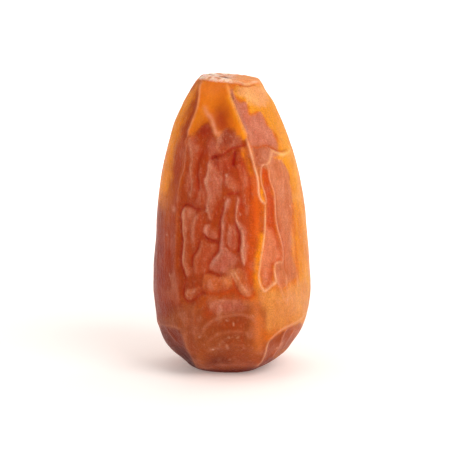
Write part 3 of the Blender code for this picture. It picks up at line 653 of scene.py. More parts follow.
def starting_ball():
    bm = bmesh.new()
    bmesh.ops.create_cube(bm, size=2.0)
    bmesh.ops.subdivide_edges(bm, edges=bm.edges[:], cuts=CELLS - 1, use_grid_fill=True)
    bm.verts.index_update()
    cube = np.array([v.co for v in bm.verts])
    ball = np.tan(np.clip(cube, -1, 1) * math.pi / 4)
    ball /= np.linalg.norm(ball, axis=1)[:, None]
    # the faces are made finer towards the front, keeping their shape
    toward = np.array([0.0, -1.0, 0.0])
    c = ball @ toward
    moved_c = (c + FINER_FRONT) / (1 + FINER_FRONT * c)
    across = ball - c[:, None] * toward
    across /= np.maximum(np.linalg.norm(across, axis=1), 1e-9)[:, None]
    ball = moved_c[:, None] * toward + np.sqrt(np.clip(1 - moved_c ** 2, 0, 1))[:, None] * across
    return bm, ball


def vertex_normals(points, faces):
    """Area-weighted normals of a quad mesh."""
    a, b, c, d = (points[faces[:, k]] for k in range(4))
    n = np.cross(c - a, d - b)
    out = np.zeros_like(points)
    for k in range(4):
        np.add.at(out, faces[:, k], n)
    return out / np.maximum(np.linalg.norm(out, axis=1), 1e-12)[:, None]


def region_weights(skin):
    """How strongly the small wrinkles show at each point, 0 to 1."""
    p, s = skin.points, skin.sheet
    front = skin.front
    w = np.full(len(p), 0.55)
    # the smooth hollow at the top of the front, between the keels
    smooth = step(s[:, 1], 145, 128) * step(s[:, 0], 182, 190) * step(s[:, 0], 255, 240) * front
    w *= 1 - 0.95 * smooth
    # the wrinkled panel of the front
    panel = step(s[:, 1], 132, 146) * step(s[:, 1], 312, 300) * step(s[:, 0], 176, 184) * step(s[:, 0], 262, 250) * front
    w += 0.15 * panel
    # the smooth band under it, and the flanks beside it
    w *= 1 - 0.60 * step(s[:, 1], 300, 312) * front
    w *= 1 - 0.80 * step(s[:, 0], 182, 174) * (1 - skin.hidden)
    w *= 1 - 0.80 * step(s[:, 0], 256, 266) * (1 - skin.hidden)
    # nothing on the scar plate
    w *= 1 - step(p[:, 2], 40.6, 41.4)
    return w


def small_wrinkles(skin):
    p = skin.points
    noise = skin.noise
    warp = np.stack([noise.at(p, 0.28, 2, 5.0), noise.at(p, 0.28, 2, 31.0), noise.at(p, 0.28, 2, 57.0)], 1)
    weight = region_weights(skin)
    # cells stretched along the fruit, puffed between narrow furrows
    q = (p + 1.3 * warp) * np.array([0.42, 0.42, 0.20])
    first, second = noise.cells(q + 8.0)
    puff = 1 - np.exp(-((second - first) / 0.22) ** 1.3)
    skin.push += 0.14 * weight * (puff - 0.7)
    # finer ones inside them
    q = (p + 0.8 * warp) * np.array([0.95, 0.95, 0.42])
    first, second = noise.cells(q + 3.0)
    fine = 1 - np.exp(-((second - first) / 0.25) ** 1.4)
    skin.push += 0.055 * weight * (fine - 0.7)
    # uneven flesh under the skin, and a fine unevenness of the skin itself
    skin.push += 0.14 * noise.at(p * np.array([1, 1, 0.6]), 0.16, 2, 3.0)
    skin.push += 0.028 * noise.at(p * np.array([1, 1, 0.5]), 1.3, 3, 9.0)
    return puff, fine, weight


def facets(skin):
    """The hidden sides: broad hollow facets between crests, as the neighbouring fruit have."""
    p, noise = skin.points, skin.noise
    away = skin.hidden * step(p[:, 2], 2.0, 7.0) * (1 - step(p[:, 2], 34.5, 38.5))
    warp = np.stack([noise.at(p, 0.16, 2, 15.0), noise.at(p, 0.16, 2, 41.0), noise.at(p, 0.16, 2, 67.0)], 1)
    first, second = noise.cells((p + 3.2 * warp) * np.array([0.15, 0.15, 0.075]) + 5.0)
    gap = second - first
    crest = np.exp(-(gap / 0.17) ** 1.5)
    hollow = np.exp(-(first / 0.45) ** 2)
    skin.push += away * (0.32 * crest - 0.46 * hollow)
    everywhere = np.arange(len(p))
    patchy = noise.at(p * np.array([1, 1, 0.6]), 0.22, 3, 131.0)
    streaks = noise.at(p * np.array([1, 1, 0.2]), 1.3, 3, 77.0)
    skin.paint(everywhere, (184, 96, 60), away * (0.25 + 0.55 * step(patchy, -0.1, 0.3)) * hollow * np.clip(0.85 + streaks, 0, 1))
    skin.paint(everywhere, (202, 92, 26), 0.55 * away * np.exp(-((gap - 0.16) / 0.09) ** 2) * step(patchy, 0.25, -0.25))
    # pale along the crests: partly the skin's pinched edge, partly a painted highlight
    broken = np.clip(0.45 + 1.6 * noise.at(p, 0.5, 3, 177.0), 0, 1)
    skin.paint(everywhere, (236, 172, 112), 0.50 * away * np.exp(-(gap / 0.05) ** 1.3) * broken)
    skin.grain += away * (0.25 + 0.45 * hollow)


def base_colours(skin, puff, fine, weight):
    """The skin's broad colours by angle and height, all round the fruit."""
    p, angle, noise = skin.points, skin.angle, skin.noise
    z = p[:, 2]
    everywhere = np.arange(len(p))
    skin.paint(everywhere, HONEY, np.ones(len(p)))
    big = noise.at(p, 0.13, 3, 2.0)
    mid = noise.at(p * np.array([1, 1, 0.45]), 0.42, 3, 11.0)
    # redder, more wrinkled panels come and go round the back
    panel = step(big + 0.35 * mid, -0.12, 0.35) * step(z, 36, 31) * step(z, 5, 10)
    skin.paint(everywhere, DEEP, 0.75 * panel)
    skin.paint(everywhere, RED, 0.45 * panel * step(mid, 0.0, 0.4))
    # the left flank is brown, and lighter towards the back
    left = step(angle + 26 * mid + 12 * big, 104, 168) * (angle < 270)
    low = step(z + 8 * big + 5 * mid, 28, 18)
    skin.paint(everywhere, (230, 138, 46), 0.80 * left * (1 - low))
    left = left * low
    skin.paint(everywhere, (146, 66, 32), 0.90 * left)
    # amber where the skin is clear
    skin.paint(everywhere, AMBER, 0.5 * step(big, 0.05, -0.4))
    skin.paint(everywhere, AMBER, 0.6 * np.exp(-(((angle + 30) % 360 - 30 + 16 * mid) / 26) ** 2) * step(z, 6, 10))
    # dull pink-brown clouds, and orange ones, over the hidden sides
    dull = noise.at(p * np.array([1, 1, 0.55]), 0.26, 4, 151.0)
    aside = np.maximum(skin.hidden, step(p[:, 1], -3.5, 0.5))
    skin.paint(everywhere, (188, 108, 70), 0.75 * aside * step(dull, 0.04, 0.34) * (1 - 0.6 * left))
    skin.paint(everywhere, (206, 98, 34), 0.55 * aside * step(dull, -0.08, -0.34) * (1 - 0.7 * left))
    skin.paint(everywhere, (236, 168, 100), 0.45 * aside * step(noise.at(p * np.array([1, 1, 0.4]), 0.5, 3, 191.0), 0.12, 0.4) * (1 - left))
    # the underside is painted darker, a painted shade where it turns under, and the very end is rough and grey-brown
    skin.paint(everywhere, BROWN, 0.75 * step(z, 6.5, 1.5))
    skin.paint(everywhere, UMBER, 0.85 * step(z, 2.2, 0.1))
    # the blunt tip: a rough grey-brown spot in a darker rim
    tip = np.hypot(p[:, 0], 1.3 * p[:, 1]) + 0.5 * noise.at(p, 0.9, 3, 221.0)
    skin.paint(everywhere, (86, 40, 22), 0.8 * step(z, 3.0, 1.0) * np.exp(-((tip - 2.3) / 0.6) ** 2))
    crumbs = np.clip(0.75 + 1.3 * noise.at(p, 2.2, 3, 225.0), 0, 1)
    skin.paint(everywhere, (146, 96, 66), 0.75 * crumbs * step(z, 3.0, 1.0) * step(tip, 2.3, 1.3))
    skin.paint(everywhere, (104, 54, 32), 0.6 * step(z, 3.0, 1.0) * step(tip, 0.9, 0.3))
    # the furrows of the small wrinkles are painted darker: painted shade in the creases
    skin.paint(everywhere, BRICK, 0.32 * np.clip(weight, 0, 1) * (1 - puff))
    skin.paint(everywhere, BRICK, 0.16 * np.clip(weight, 0, 1) * (1 - fine))


def front_colours(skin):
    """The front's zones, from the largest to the smallest."""
    area, band, spot = skin.area, skin.band, skin.spot
    # everything between the flanks
    area(((176, 120), (190, 88), (202, 79), (258, 82), (276, 110), (292, 150), (303, 205), (307, 260), (306, 310),
          (285, 345), (250, 368), (205, 368), (172, 345), (160, 320), (158, 270), (160, 200)), 8, ORANGE, 0.75)
    # the left flank: amber along its edge above, running out into brown-pink below
    area(((200, 79), (199, 92), (194, 112), (188, 136), (184, 160), (180, 185), (178, 212), (176, 262), (182, 304),
          (188, 326), (176, 340), (160, 330), (150, 290), (150, 240), (156, 200), (163, 160), (172, 122), (186, 92)), 6,
         (164, 64, 24), 0.95, 1.5, 0.2)
    area(((200, 78), (198, 90), (192, 102), (186, 112), (180, 124), (176, 140), (173, 158), (172, 176), (168, 192),
          (160, 208), (148, 216), (154, 172), (164, 146), (170, 122), (182, 96)), 13, (232, 134, 36), 0.98, 8.0, 0.2)
    spot((166, 198), (8, 24), 3, (220, 124, 46), 0.60, 0.2)
    spot((176, 140), (7, 24), 12, (232, 134, 40), 0.55, 0.1)
    area(((150, 200), (160, 204), (165, 250), (164, 300), (158, 322), (146, 290), (148, 240)), 18, (146, 54, 18), 0.80, 9.0, 0.18)
    # a darker band along the left edge: painted shade
    band(((156.5, 214), (154.5, 240), (152.4, 275), (154, 300), (157.5, 322)), 4.0, (140, 62, 32), 0.65, 3.0)
    spot((170.5, 240), (5.0, 34), 1, (170, 72, 42), 0.60, 0.5)
    spot((173, 284), (9, 15), 0, (172, 82, 52), 0.70, 0.6)
    spot((171, 311), (11, 9), 0, (134, 62, 34), 0.70, 0.4)
    spot((183.5, 165), (4.5, 30), 4, (180, 78, 46), 0.65, 0.4)
    spot((178, 152), (5, 25), 9, (180, 80, 56), 0.80, 0.6)
    spot((181, 205), (3.5, 12), 0, (170, 70, 42), 0.5, 0.4)
    # a small pale spot: a painted glint
    spot((173.6, 209.5), (2.6, 4.5), 0, (222, 152, 124), 0.6, 0.9)
    # the smooth hollow at the top
    area(((203, 82), (226, 82), (231, 99), (236, 111), (241, 125), (245, 135), (240, 137), (232, 135), (227.5, 129),
          (221, 135), (217, 138), (212, 134), (207, 122), (198, 131), (189, 137), (192, 122), (197, 106), (200, 92)),
         3.5, (224, 122, 44), 0.95, 1.0, 0.05)
    spot((212, 90), (13, 9), 0, (228, 128, 60), 0.7)
    # darker in its middle, where it deepens: painted shade of the hollow
    spot((221, 118), (12, 17), -12, (170, 72, 24), 0.95)
    spot((222, 124), (7, 9), -10, (174, 70, 26), 0.7)
    spot((199, 119), (5.5, 13), 20, (220, 128, 46), 0.85)
    spot((238.5, 124), (4, 13), -22, (234, 138, 44), 0.7)
    # the wrinkled panel
    area(((187, 148), (191, 136), (200, 132), (207, 124), (213, 136), (219, 139), (228, 131), (236, 138), (244, 137),
          (249, 150), (254, 172), (258, 196), (262, 212), (262, 238), (258, 272), (257, 290), (247, 302), (232, 305),
          (214, 303), (190, 306), (179, 298), (177, 272), (178, 240), (178, 212), (182, 182)), 6, (170, 72, 42), 0.95,
         1.6, 0.5)
    spot((204, 131), (8, 9), 30, (160, 56, 32), 0.9, 0.3)
    area(((217, 139), (221, 134), (226, 130.5), (231, 130.5), (235.5, 136), (236.5, 142), (232, 145), (226, 143.5),
          (221, 145)), 5, (156, 68, 50), 0.70, 3.0, 0.6)
    spot((213.5, 146), (6, 9), -10, (200, 114, 92), 0.8, 0.9)
    spot((193, 147), (4.5, 11), 0, (202, 116, 90), 0.75, 1.0)
    spot((202, 154), (6, 9), 0, (170, 62, 38), 0.7, 0.2)
    spot((224, 165), (12, 8), 0, (164, 56, 34), 0.85, 0.3)
    spot((243, 166), (5, 9), -10, (180, 62, 30), 0.7, 0.3)
    spot((242, 206), (4, 14), 0, (178, 62, 38), 0.7, 0.6)
    spot((213, 178), (6, 18), 4, (196, 106, 82), 0.6, 1.0)
    spot((225, 180), (7, 6), 0, (198, 112, 88), 0.55, 1.0)
    spot((241, 176), (6, 22), -6, (192, 78, 46), 0.8, 0.4)
    spot((234.3, 187), (6, 4.6), 20, (208, 130, 100), 0.35, 1.0)
    spot((188.6, 182), (3.4, 10), 2, (204, 118, 88), 0.75, 0.9)
    spot((198.5, 188), (5.5, 17), 2, (178, 66, 34), 0.8, 0.3)
    spot((247, 236), (4.5, 34), -3, (190, 84, 50), 0.85, 0.5)
    spot((197, 226), (8, 16), 0, (180, 76, 46), 0.6, 0.6)
    spot((204, 262), (10, 14), 0, (184, 78, 44), 0.7, 0.5)
    spot((220, 299.5), (28, 4), 0, (198, 98, 44), 0.8, 0.3)
    # pale spots on the low slanting pad and on the blob beside it: painted highlights
    spot((234, 276.5), (4.5, 7), -28, (244, 184, 134), 0.55, 0.9)
    spot((227, 282), (6, 4), 20, (232, 156, 96), 0.55, 0.6)
    spot((247, 291), (4, 6), -20, (228, 146, 104), 0.6, 0.8)
    # the pink panel of the right half
    area(((232, 94), (236, 98), (241.1, 101.4), (247.4, 102.1), (248.8, 113.3), (253, 114), (260.7, 110.5),
          (264.2, 113.3), (267.7, 123.2), (273.3, 128.8), (276.1, 137.2), (278.2, 146.3), (280, 156), (284, 162), (288, 168), (290, 178), (291, 188),
          (293, 200), (293.5, 214), (293, 232), (292.5, 252), (295, 264),
          (297, 277), (291, 282), (283, 288), (276, 282), (276, 262), (282, 252), (277, 226), (274, 200), (270, 180),
          (266, 166), (260, 178), (255, 168), (250, 148), (246, 136), (240, 120)), 3.4, (204, 120, 82), 0.95, 2.0, 0.8)
    area(((234, 99), (241.1, 102), (247, 103), (249, 115), (261, 112), (267, 124), (273, 130), (277, 145), (264, 144),
          (252, 146), (246, 136), (240, 120)), 5, (204, 122, 98), 0.85, 1.2, 1.0)
    area(((252, 148), (270, 147), (270, 156), (264, 163), (258, 168), (254, 160)), 4, (186, 98, 68), 0.8, 1.2, 0.9)
    spot((281, 205), (6, 30), -4, (212, 128, 94), 0.6, 0.9)
    spot((285, 246), (6, 20), -4, (216, 128, 92), 0.6, 0.9)
    # amber outside it
    area(((236, 84), (262, 84), (271, 97), (283, 122), (293, 150), (301, 185), (306, 220), (307.5, 255), (310.5, 285),
          (307, 315), (298, 330), (290, 318), (296, 290), (299, 270), (295, 232), (294, 205), (290, 178), (287, 166),
          (279, 158), (279, 148), (277, 138), (268, 124), (264, 113), (260, 110.5), (253, 114), (249, 113), (247, 102),
          (240, 100), (234, 92)), 3.2, (232, 150, 50), 0.94, 2.2, 0.25)
    area(((238, 85), (262, 86), (268, 96), (266, 106), (254, 104), (246, 98), (238, 94)), 7, (238, 168, 110), 0.85, 1.5)
    spot((239, 91), (4, 3.5), 0, (196, 112, 66), 0.5)
    spot((299.5, 176), (3, 22), -12, (240, 170, 98), 0.5)
    area(((273, 156), (283, 157), (289, 166), (291, 178), (287, 168), (281, 161), (273, 159)), 3, (240, 154, 40), 0.8, 1.0)
    spot((299.5, 240), (4.5, 36), -3, (222, 126, 34), 0.85)
    spot((293.4, 247), (2, 17), -2, (240, 168, 96), 0.5)
    spot((297, 197), (5, 4.5), 40, (240, 172, 104), 0.45)
    spot((255.5, 212), (5, 38), -3, (220, 102, 16), 0.40, 0.05)
    # between the two lower keels: orange-red, paler below
    area(((262, 168), (268, 174), (272, 192), (273.5, 215), (274.5, 228), (279, 245), (280, 260), (272, 266),
          (271, 282), (263, 288), (261, 272), (263, 250), (266, 222), (266.5, 200), (263.5, 185)), 2.4,
         (204, 82, 38), 0.92, 1.0, 0.4)
    area(((266, 228), (275, 236), (279, 256), (270, 264), (268, 280), (262, 284), (262, 256)), 7, (224, 134, 94), 0.92, 2,
         0.8)
    spot((279.5, 284), (3.6, 12), -14, (216, 116, 78), 0.7, 0.8)
    # inside the narrow loop
    area(((257, 168), (260.5, 168), (261, 184), (264, 194), (263.5, 201), (260.5, 198), (259, 186), (258, 176)), 2,
         (196, 104, 54), 0.85, 0.6)
    # the clear amber stripe left of the main keel
    band(((230, 98), (236, 113), (241, 127), (244, 136)), 3.0, (238, 146, 30), 0.80)
    band(((241.5, 133), (243.2, 138)), 1.7, (250, 156, 10), 0.75)
    band(((242.6, 153), (243.4, 156)), 1.4, (246, 146, 14), 0.7)
    band(((247.4, 162.6), (248.6, 167)), 1.4, (246, 150, 24), 0.7)
    band(((243, 148), (246.5, 160), (251, 174)), 2.8, (228, 126, 42), 0.85)
    band(((240, 145.5), (244, 146)), 2.2, (180, 72, 8), 0.7)
    band(((252, 180), (253, 200), (254, 222), (252, 244), (250, 262), (250, 282)), 5.0, (208, 88, 20), 0.85)
    band(((253.5, 176), (256.6, 196), (258.6, 212), (258.2, 224), (257.6, 232), (259, 244), (259, 254)), 3.0, (226, 106, 12), 0.60, 0.8)
    band(((262, 236), (261, 243), (259.6, 250), (257.6, 262), (256.6, 276), (257.6, 290)), 2.8, (246, 150, 34), 0.80)
    band(((257.4, 256), (256.2, 268), (256, 280), (256.4, 292)), 1.8, (248, 142, 10), 0.60, 0.5)
    spot((251, 299), (7, 3.4), -10, (234, 124, 24), 0.60, 0.2)
    spot((258.8, 284), (2.6, 8), 0, (250, 170, 84), 0.60, 0.1)
    band(((260, 290), (266, 296), (274, 298)), 3.5, (240, 150, 62), 0.7)
    band(((261.2, 190), (261.9, 197), (263, 200.5)), 1.4, (246, 146, 20), 0.9)
    # amber low on the right, and the smooth band under the panel
    area(((258, 290), (275, 292), (290, 286), (300, 280), (309, 286), (307, 310), (292, 322), (276, 330), (262, 328)),
         8, (222, 142, 76), 0.92, 3, 0.4)
    spot((290, 300), (16, 16), 0, (226, 150, 90), 0.6, 0.6)
    area(((160, 320), (182, 308), (215, 308), (250, 303), (262, 312), (262, 340), (256, 366), (205, 369), (184, 356),
          (168, 342)), 10, (162, 84, 52), 0.94, 3, 0.6)
    spot((189, 322), (9, 24), -4, (178, 94, 62), 0.8, 0.6)
    spot((208, 314), (8, 8), 0, (184, 78, 28), 0.85, 0.2)
    spot((229, 326), (20, 8), 0, (170, 76, 38), 0.85, 0.5)
    spot((228, 306), (18, 7), 0, (176, 94, 72), 0.9, 0.9)
    spot((228, 343), (26, 8), 0, (166, 84, 52), 0.75, 0.8)
    spot((243, 358), (16, 9), 0, (166, 82, 52), 0.8, 0.6)
    spot((257.5, 326), (6.5, 32), -2, (220, 118, 58), 0.85, 0.3)
    area(((264, 342), (279, 333), (300, 324), (304, 330), (290, 347), (272, 360), (259, 365)), 3, (162, 74, 32), 0.92, 1.5, 0.3)
    spot((297, 331), (10, 7), -35, (198, 108, 58), 0.8, 0.2)
    spot((281, 346), (12, 4), -40, (196, 112, 72), 0.45, 0.7)
    # the darker facets at the base: painted shade, where the base turns down and away from the light
    area(((160, 326), (181, 329), (186, 344), (194, 356), (201, 370), (180, 362), (164, 344)), 9, (130, 54, 20), 0.85, 6.0, 0.12)
    band(((158.6, 332), (166, 345), (178, 355.6), (192, 366)), 5.0, (92, 36, 12), 0.70, 2.0)
    spot((186, 357), (16, 6.5), 45, (88, 34, 14), 0.80, 0.1)
    spot((218, 361), (14, 7), -6, (104, 40, 18), 0.55, 0.3)
    spot((201.5, 356), (4.5, 11), -12, (174, 90, 50), 0.8, 0.4)
    # a dark band under the front lip of the base: painted shadow; and a paler line along the lip above it
    band(((203, 370.5), (225, 371.5), (252, 369), (272, 361)), 3.2, (116, 34, 14), 0.8)
    band(((206, 366.5), (222, 366), (240, 364.5), (256, 364.5)), 1.6, (188, 106, 80), 0.55)
    # grey-purple beside the top of the main keel: painted shade beside its crest; then a small dark mark and a short
    # pale streak
    band(((231.5, 92), (234.5, 103), (239, 113), (243.5, 123), (247, 131)), 2.0, (186, 118, 102), 0.75)
    band(((231.8, 95), (233, 100)), 0.9, (124, 64, 50), 0.5)
    band(((247.2, 95), (247.8, 103)), 1.0, (246, 186, 130), 0.5)
    # a darker shade under the hollow
    band(((198, 132), (207, 124.5), (213, 136), (219, 139)), 1.8, (150, 52, 24), 0.45)
    # the shade left of the left keel
    band(((197.5, 92), (195, 106), (190, 122), (185, 137)), 1.7, (168, 80, 54), 0.70)
    band(((189, 96), (182, 110), (176, 126), (171, 144), (167, 164), (163, 188)), 4.6, (250, 152, 36), 0.72, 2.0)


# Small pale glints: width mm, strength, points
GLINTS = (
    (0.24, 0.40, ((220.3, 306), (221.4, 310))), (0.18, 0.30, ((219, 301), (223, 300.6))),
    (0.12, 0.35, ((226, 321), (227.6, 321.6))), (0.12, 0.45, ((233.4, 324), (233.6, 326))),
    (0.12, 0.30, ((228, 338), (229.5, 338.4))), (0.12, 0.30, ((237, 338.4), (238.4, 338))),
    (0.18, 0.30, ((226.5, 345.5), (228, 349))), (0.10, 0.50, ((186, 294), (188, 296.4))),
    (0.10, 0.40, ((190.5, 294), (194, 291.8))), (0.11, 0.55, ((290.3, 205.8), (290.9, 206.6))),
    (0.10, 0.30, ((281, 232), (281.6, 236))), (0.12, 0.25, ((252, 315), (253, 316))),
    (0.10, 0.35, ((240, 213.6), (240.4, 214.8))), (0.10, 0.35, ((228.4, 232), (228.8, 234))),
    (0.12, 0.30, ((226, 249), (227, 250))), (0.10, 0.35, ((206.6, 206), (206.9, 212))),
    (0.10, 0.30, ((185.4, 226), (185.8, 232))), (0.12, 0.35, ((169.4, 274), (170.2, 276))),
    (0.14, 0.35, ((224.4, 279), (226.4, 283))), (0.18, 0.20, ((283, 178), (284, 192))),
    (0.12, 0.25, ((209.4, 162), (210.8, 169))),
)


def weathering(skin, weight):
    """Uneven tone over everything: clouds, streaks along the fruit, and a fine grain."""
    p, noise = skin.points, skin.noise
    cloud = noise.at(p * np.array([1, 1, 0.6]), 0.45, 4, 71.0)
    skin.colour *= np.exp(cloud[:, None] * np.array([0.12, 0.26, 0.30]))
    streak = noise.at(p * np.array([1, 1, 0.16]), 1.5, 2, 83.0) * (0.4 + 0.9 * skin.grain)
    skin.colour *= np.exp(streak[:, None] * np.array([0.07, 0.18, 0.24]))
    grain = noise.at(p * np.array([1, 1, 0.6]), 2.8, 3, 95.0)
    skin.colour *= np.exp((grain * (0.5 + 0.9 * np.clip(skin.grain, 0, 1)))[:, None] * np.array([0.13, 0.19, 0.24]))


def bloom_and_painted_sheen(skin):
    """A thin pale bloom in patches, where the skin is dry, which is also a painted sheen of light on the skin."""
    p, noise = skin.points, skin.noise
    everywhere = np.arange(len(p))
    film = noise.at(p * np.array([1, 1, 0.5]), 0.80, 5, 211.0)
    # pale patches: the dry skin's bloom, and a painted sheen
    skin.paint(everywhere, (222, 150, 120), 0.46 * np.clip(skin.grain, 0, 1) * step(film, 0.04, 0.50))
    skin.paint(everywhere, (186, 70, 30), 0.22 * np.clip(skin.grain, 0, 1) * step(film, -0.08, -0.50))


def specks(skin):
    """Tiny pale specks, which are painted glints, and dark specks, scattered over the skin."""
    p, noise = skin.points, skin.noise
    everywhere = np.arange(len(p))
    for scale, shift, seed, colour, strength in ((0.52, 9.0, 231.0, (250, 206, 176), 0.60),
                                                 (0.60, 23.0, 241.0, (124, 48, 24), 0.40)):
        first, second = noise.cells(p * scale + shift)
        here = step(noise.at(p, 0.5, 2, seed), 0.0, 0.25) * step(skin.grain, 0.1, 0.35)
        skin.paint(everywhere, colour, strength * here * np.exp(-(first / 0.085) ** 2))


def scar(skin):
    """The pale papery plate at the top, where the stalk was."""
    p, noise = skin.points, skin.noise
    everywhere = np.arange(len(p))
    above = p[:, 2] - TOP_SLOPE_X * p[:, 0] - TOP_SLOPE_Y * p[:, 1]
    turn = np.arctan2(p[:, 1], p[:, 0] + 0.2)
    round_it = np.stack([2.2 * np.cos(turn), 2.2 * np.sin(turn), 0.12 * p[:, 2]], 1)
    mask = step(above + 0.10 * noise.at(round_it, 2.0, 3, 90.0), 41.28, 41.52)
    around = np.hypot(p[:, 0] + 0.2, p[:, 1])
    skin.paint(everywhere, (236, 158, 108), 0.95 * mask)
    ragged = noise.at(p * np.array([1, 1.6, 1]), 1.3, 4, 40.0)
    left = step(p[:, 0] + 1.3 * ragged, 1.3, -0.7)
    skin.paint(everywhere, (252, 224, 204), 0.95 * mask * left * step(ragged, -0.35, 0.05))
    folds = noise.at(round_it, 3.5, 2, 140.0)
    skin.paint(everywhere, (208, 138, 98), 0.4 * mask * step(folds, 0.1, 0.4))
    skin.paint(everywhere, (196, 128, 104), 0.7 * mask * left * step(ragged, -0.18, -0.45))
    skin.paint(everywhere, (238, 152, 92), 0.6 * mask * step(p[:, 0], 0.8, 2.4))
    # the middle is brown and dry, round the slit
    skin.paint(everywhere, (178, 104, 76), 0.65 * mask * np.exp(-(np.hypot(p[:, 0] + 0.9, p[:, 1] * 0.7) / 1.1) ** 2))
    # its raised, flaking rim
    sunken = np.exp(-(around / 2.4) ** 4)
    skin.push += mask * (0.07 * np.exp(-((around - 3.5) / 0.5) ** 2) + 0.08 * left * ragged - 0.12 * sunken
                         + 0.05 * folds * step(around, 0.5, 1.6))
    return mask


def rest_flat(z):
    return np.maximum(z, 0.0)


def make_skin():
    bm, ball = starting_ball()
    u, share = outline_share()
    length = np.interp((1 + ball[:, 2]) / 2, share, u)
    body = body_point(np.arctan2(ball[:, 1], ball[:, 0]), length)
    faces = np.array([[v.index for v in f.verts] for f in bm.faces])
    skin = Skin(body, vertex_normals(body, faces))
    puff, fine, weight = small_wrinkles(skin)
    base_colours(skin, puff, fine, weight)
    facets(skin)
    front_colours(skin)
    weathering(skin, weight)
    plate = scar(skin)
    for width, strength, drawn in GLINTS:
        line = from_sheet(curve_through(drawn, 1.0))
        index, far, along = skin.line(line, 0.05, width, width, 2.0, 0.3)
        skin.paint(index, (246, 190, 156), strength * np.exp(-(far / width) ** 2))
    for height, roll, colour, strength, lit_rim_colour, lit_rim_strength, outline in PADS:
        skin.pad(outline, height, roll, colour, strength, lit_rim_colour, lit_rim_strength)
    # the pale bloom, which is partly a painted sheen
    bloom_and_painted_sheen(skin)
    specks(skin)
    for push, reach, drawn in PUFFS:
        line = from_sheet(curve_through(drawn, 4.0))
        skin.line(line, push, reach, reach, 2.0, 0)
    # each furrow is painted darker along its line: painted shade in the crease
    for depth, reach, colour, strength, width, drawn in FURROWS:
        line = from_sheet(curve_through(drawn, 3.0))
        index, far, along = skin.line(line, -depth, reach, reach, 1.3)
        fade = np.clip(np.minimum(along, 1 - along) / 0.1, 0, 1) * 0.8 + 0.2
        warm = tuple(0.65 * c + 0.35 * w for c, w in zip(colour, (190, 72, 22)))
        skin.paint(index, warm, 0.95 * strength * fade * np.exp(-(far / (0.88 * width)) ** 2))
    # paler colour along each keel's crest: partly the skin's pinched edge, partly a painted highlight
    for height, left, right, sharp, colour, strength, width, drawn in KEELS:
        line = from_sheet(curve_through(drawn, 3.0))
        index, far, along = skin.line(line, height, left, right, sharp)
        uneven = 0.78 + 0.55 * skin.noise.at(body[index], 1.1, 3, 33.0)
        fade = np.clip(np.minimum(along, 1 - along) / 0.08, 0, 1) * 0.6 + 0.4
        skin.paint(index, colour, strength * uneven * fade * np.exp(-(far / width) ** 2))
    for height, left, right, sharp, placed in ROUND:
        turned = curve_through(placed, 1.5)
        line = body_point(np.radians(turned[:, 0]), length_at_height(turned[:, 1]))
        before = skin.push.copy()
        index, far, along = skin.line(line, height, left, right, sharp)
        # they run out before they reach the front's edge
        hidden = skin.hidden[index]
        skin.push[index] = before[index] + (skin.push[index] - before[index]) * hidden
        # paler along the crests, partly the skin's pinched edge and partly a painted highlight; darker along the hollow
        # lines, painted shade in the creases
        if height > 0:
            broken = np.clip(0.35 + 1.8 * skin.noise.at(body[index], 0.6, 3, 133.0), 0, 1)
            skin.paint(index, PALE, 0.40 * broken * hidden * np.exp(-(far / 0.16) ** 2))
        else:
            skin.paint(index, BRICK, 0.30 * hidden * np.exp(-(far / 0.7) ** 2))
    # the slit in the scar plate, and two small pits beside it, pushed in and painted dark: painted shade inside them
    for middle, half, depth, turn in (((-0.62, -0.30), (0.42, 1.10), 0.45, 0.30), ((-1.35, 0.40), (0.24, 0.55), 0.3, 0.2),
                                      ((-2.85, 1.2), (0.20, 0.50), 0.3, 0.5)):
        c, q = math.cos(turn), math.sin(turn)
        x, y = body[:, 0] - middle[0], body[:, 1] - middle[1]
        x, y = x * c + y * q, -x * q + y * c
        r = np.hypot(x / half[0], y / half[1])
        hole = np.exp(-r ** 3) * (body[:, 2] > 40)
        skin.push -= depth * hole
        skin.paint(np.arange(len(body)), SLIT, 0.95 * step(hole, 0.03, 0.25))
    push = skin.push * np.clip((body[:, 2] + 0.2) / 1.2, 0, 1)
    shaped = body + skin.normals * push[:, None]
    shaped[:, 2] = rest_flat(shaped[:, 2])
    shaped += MOVED
    for v, p in zip(bm.verts, shaped * MM):
        v.co = p
    bmesh.ops.recalc_face_normals(bm, faces=bm.faces[:])
    mesh = bpy.data.meshes.new("date_skin")
    bm.to_mesh(mesh)
    bm.free()
    mesh.shade_smooth()
    layer = mesh.color_attributes.new("tint", "FLOAT_COLOR", "POINT")
    rgba = np.ones((len(body), 4), np.float32)
    rgba[:, :3] = skin.colour
    layer.data.foreach_set("color", rgba.ravel())
    dry = mesh.attributes.new("dry", "FLOAT", "POINT")
    dryness = np.clip(plate * 0.9 + 0.6 * step(body[:, 2], 1.2, 0.0), 0, 1)
    dry.data.foreach_set("value", dryness.astype(np.float32))
    grain = mesh.attributes.new("grain", "FLOAT", "POINT")
    grain.data.foreach_set("value", np.clip(skin.grain, 0, 1).astype(np.float32))
    made = bpy.data.objects.new("date_skin_fine", mesh)
    bpy.context.scene.collection.objects.link(made)
    return made


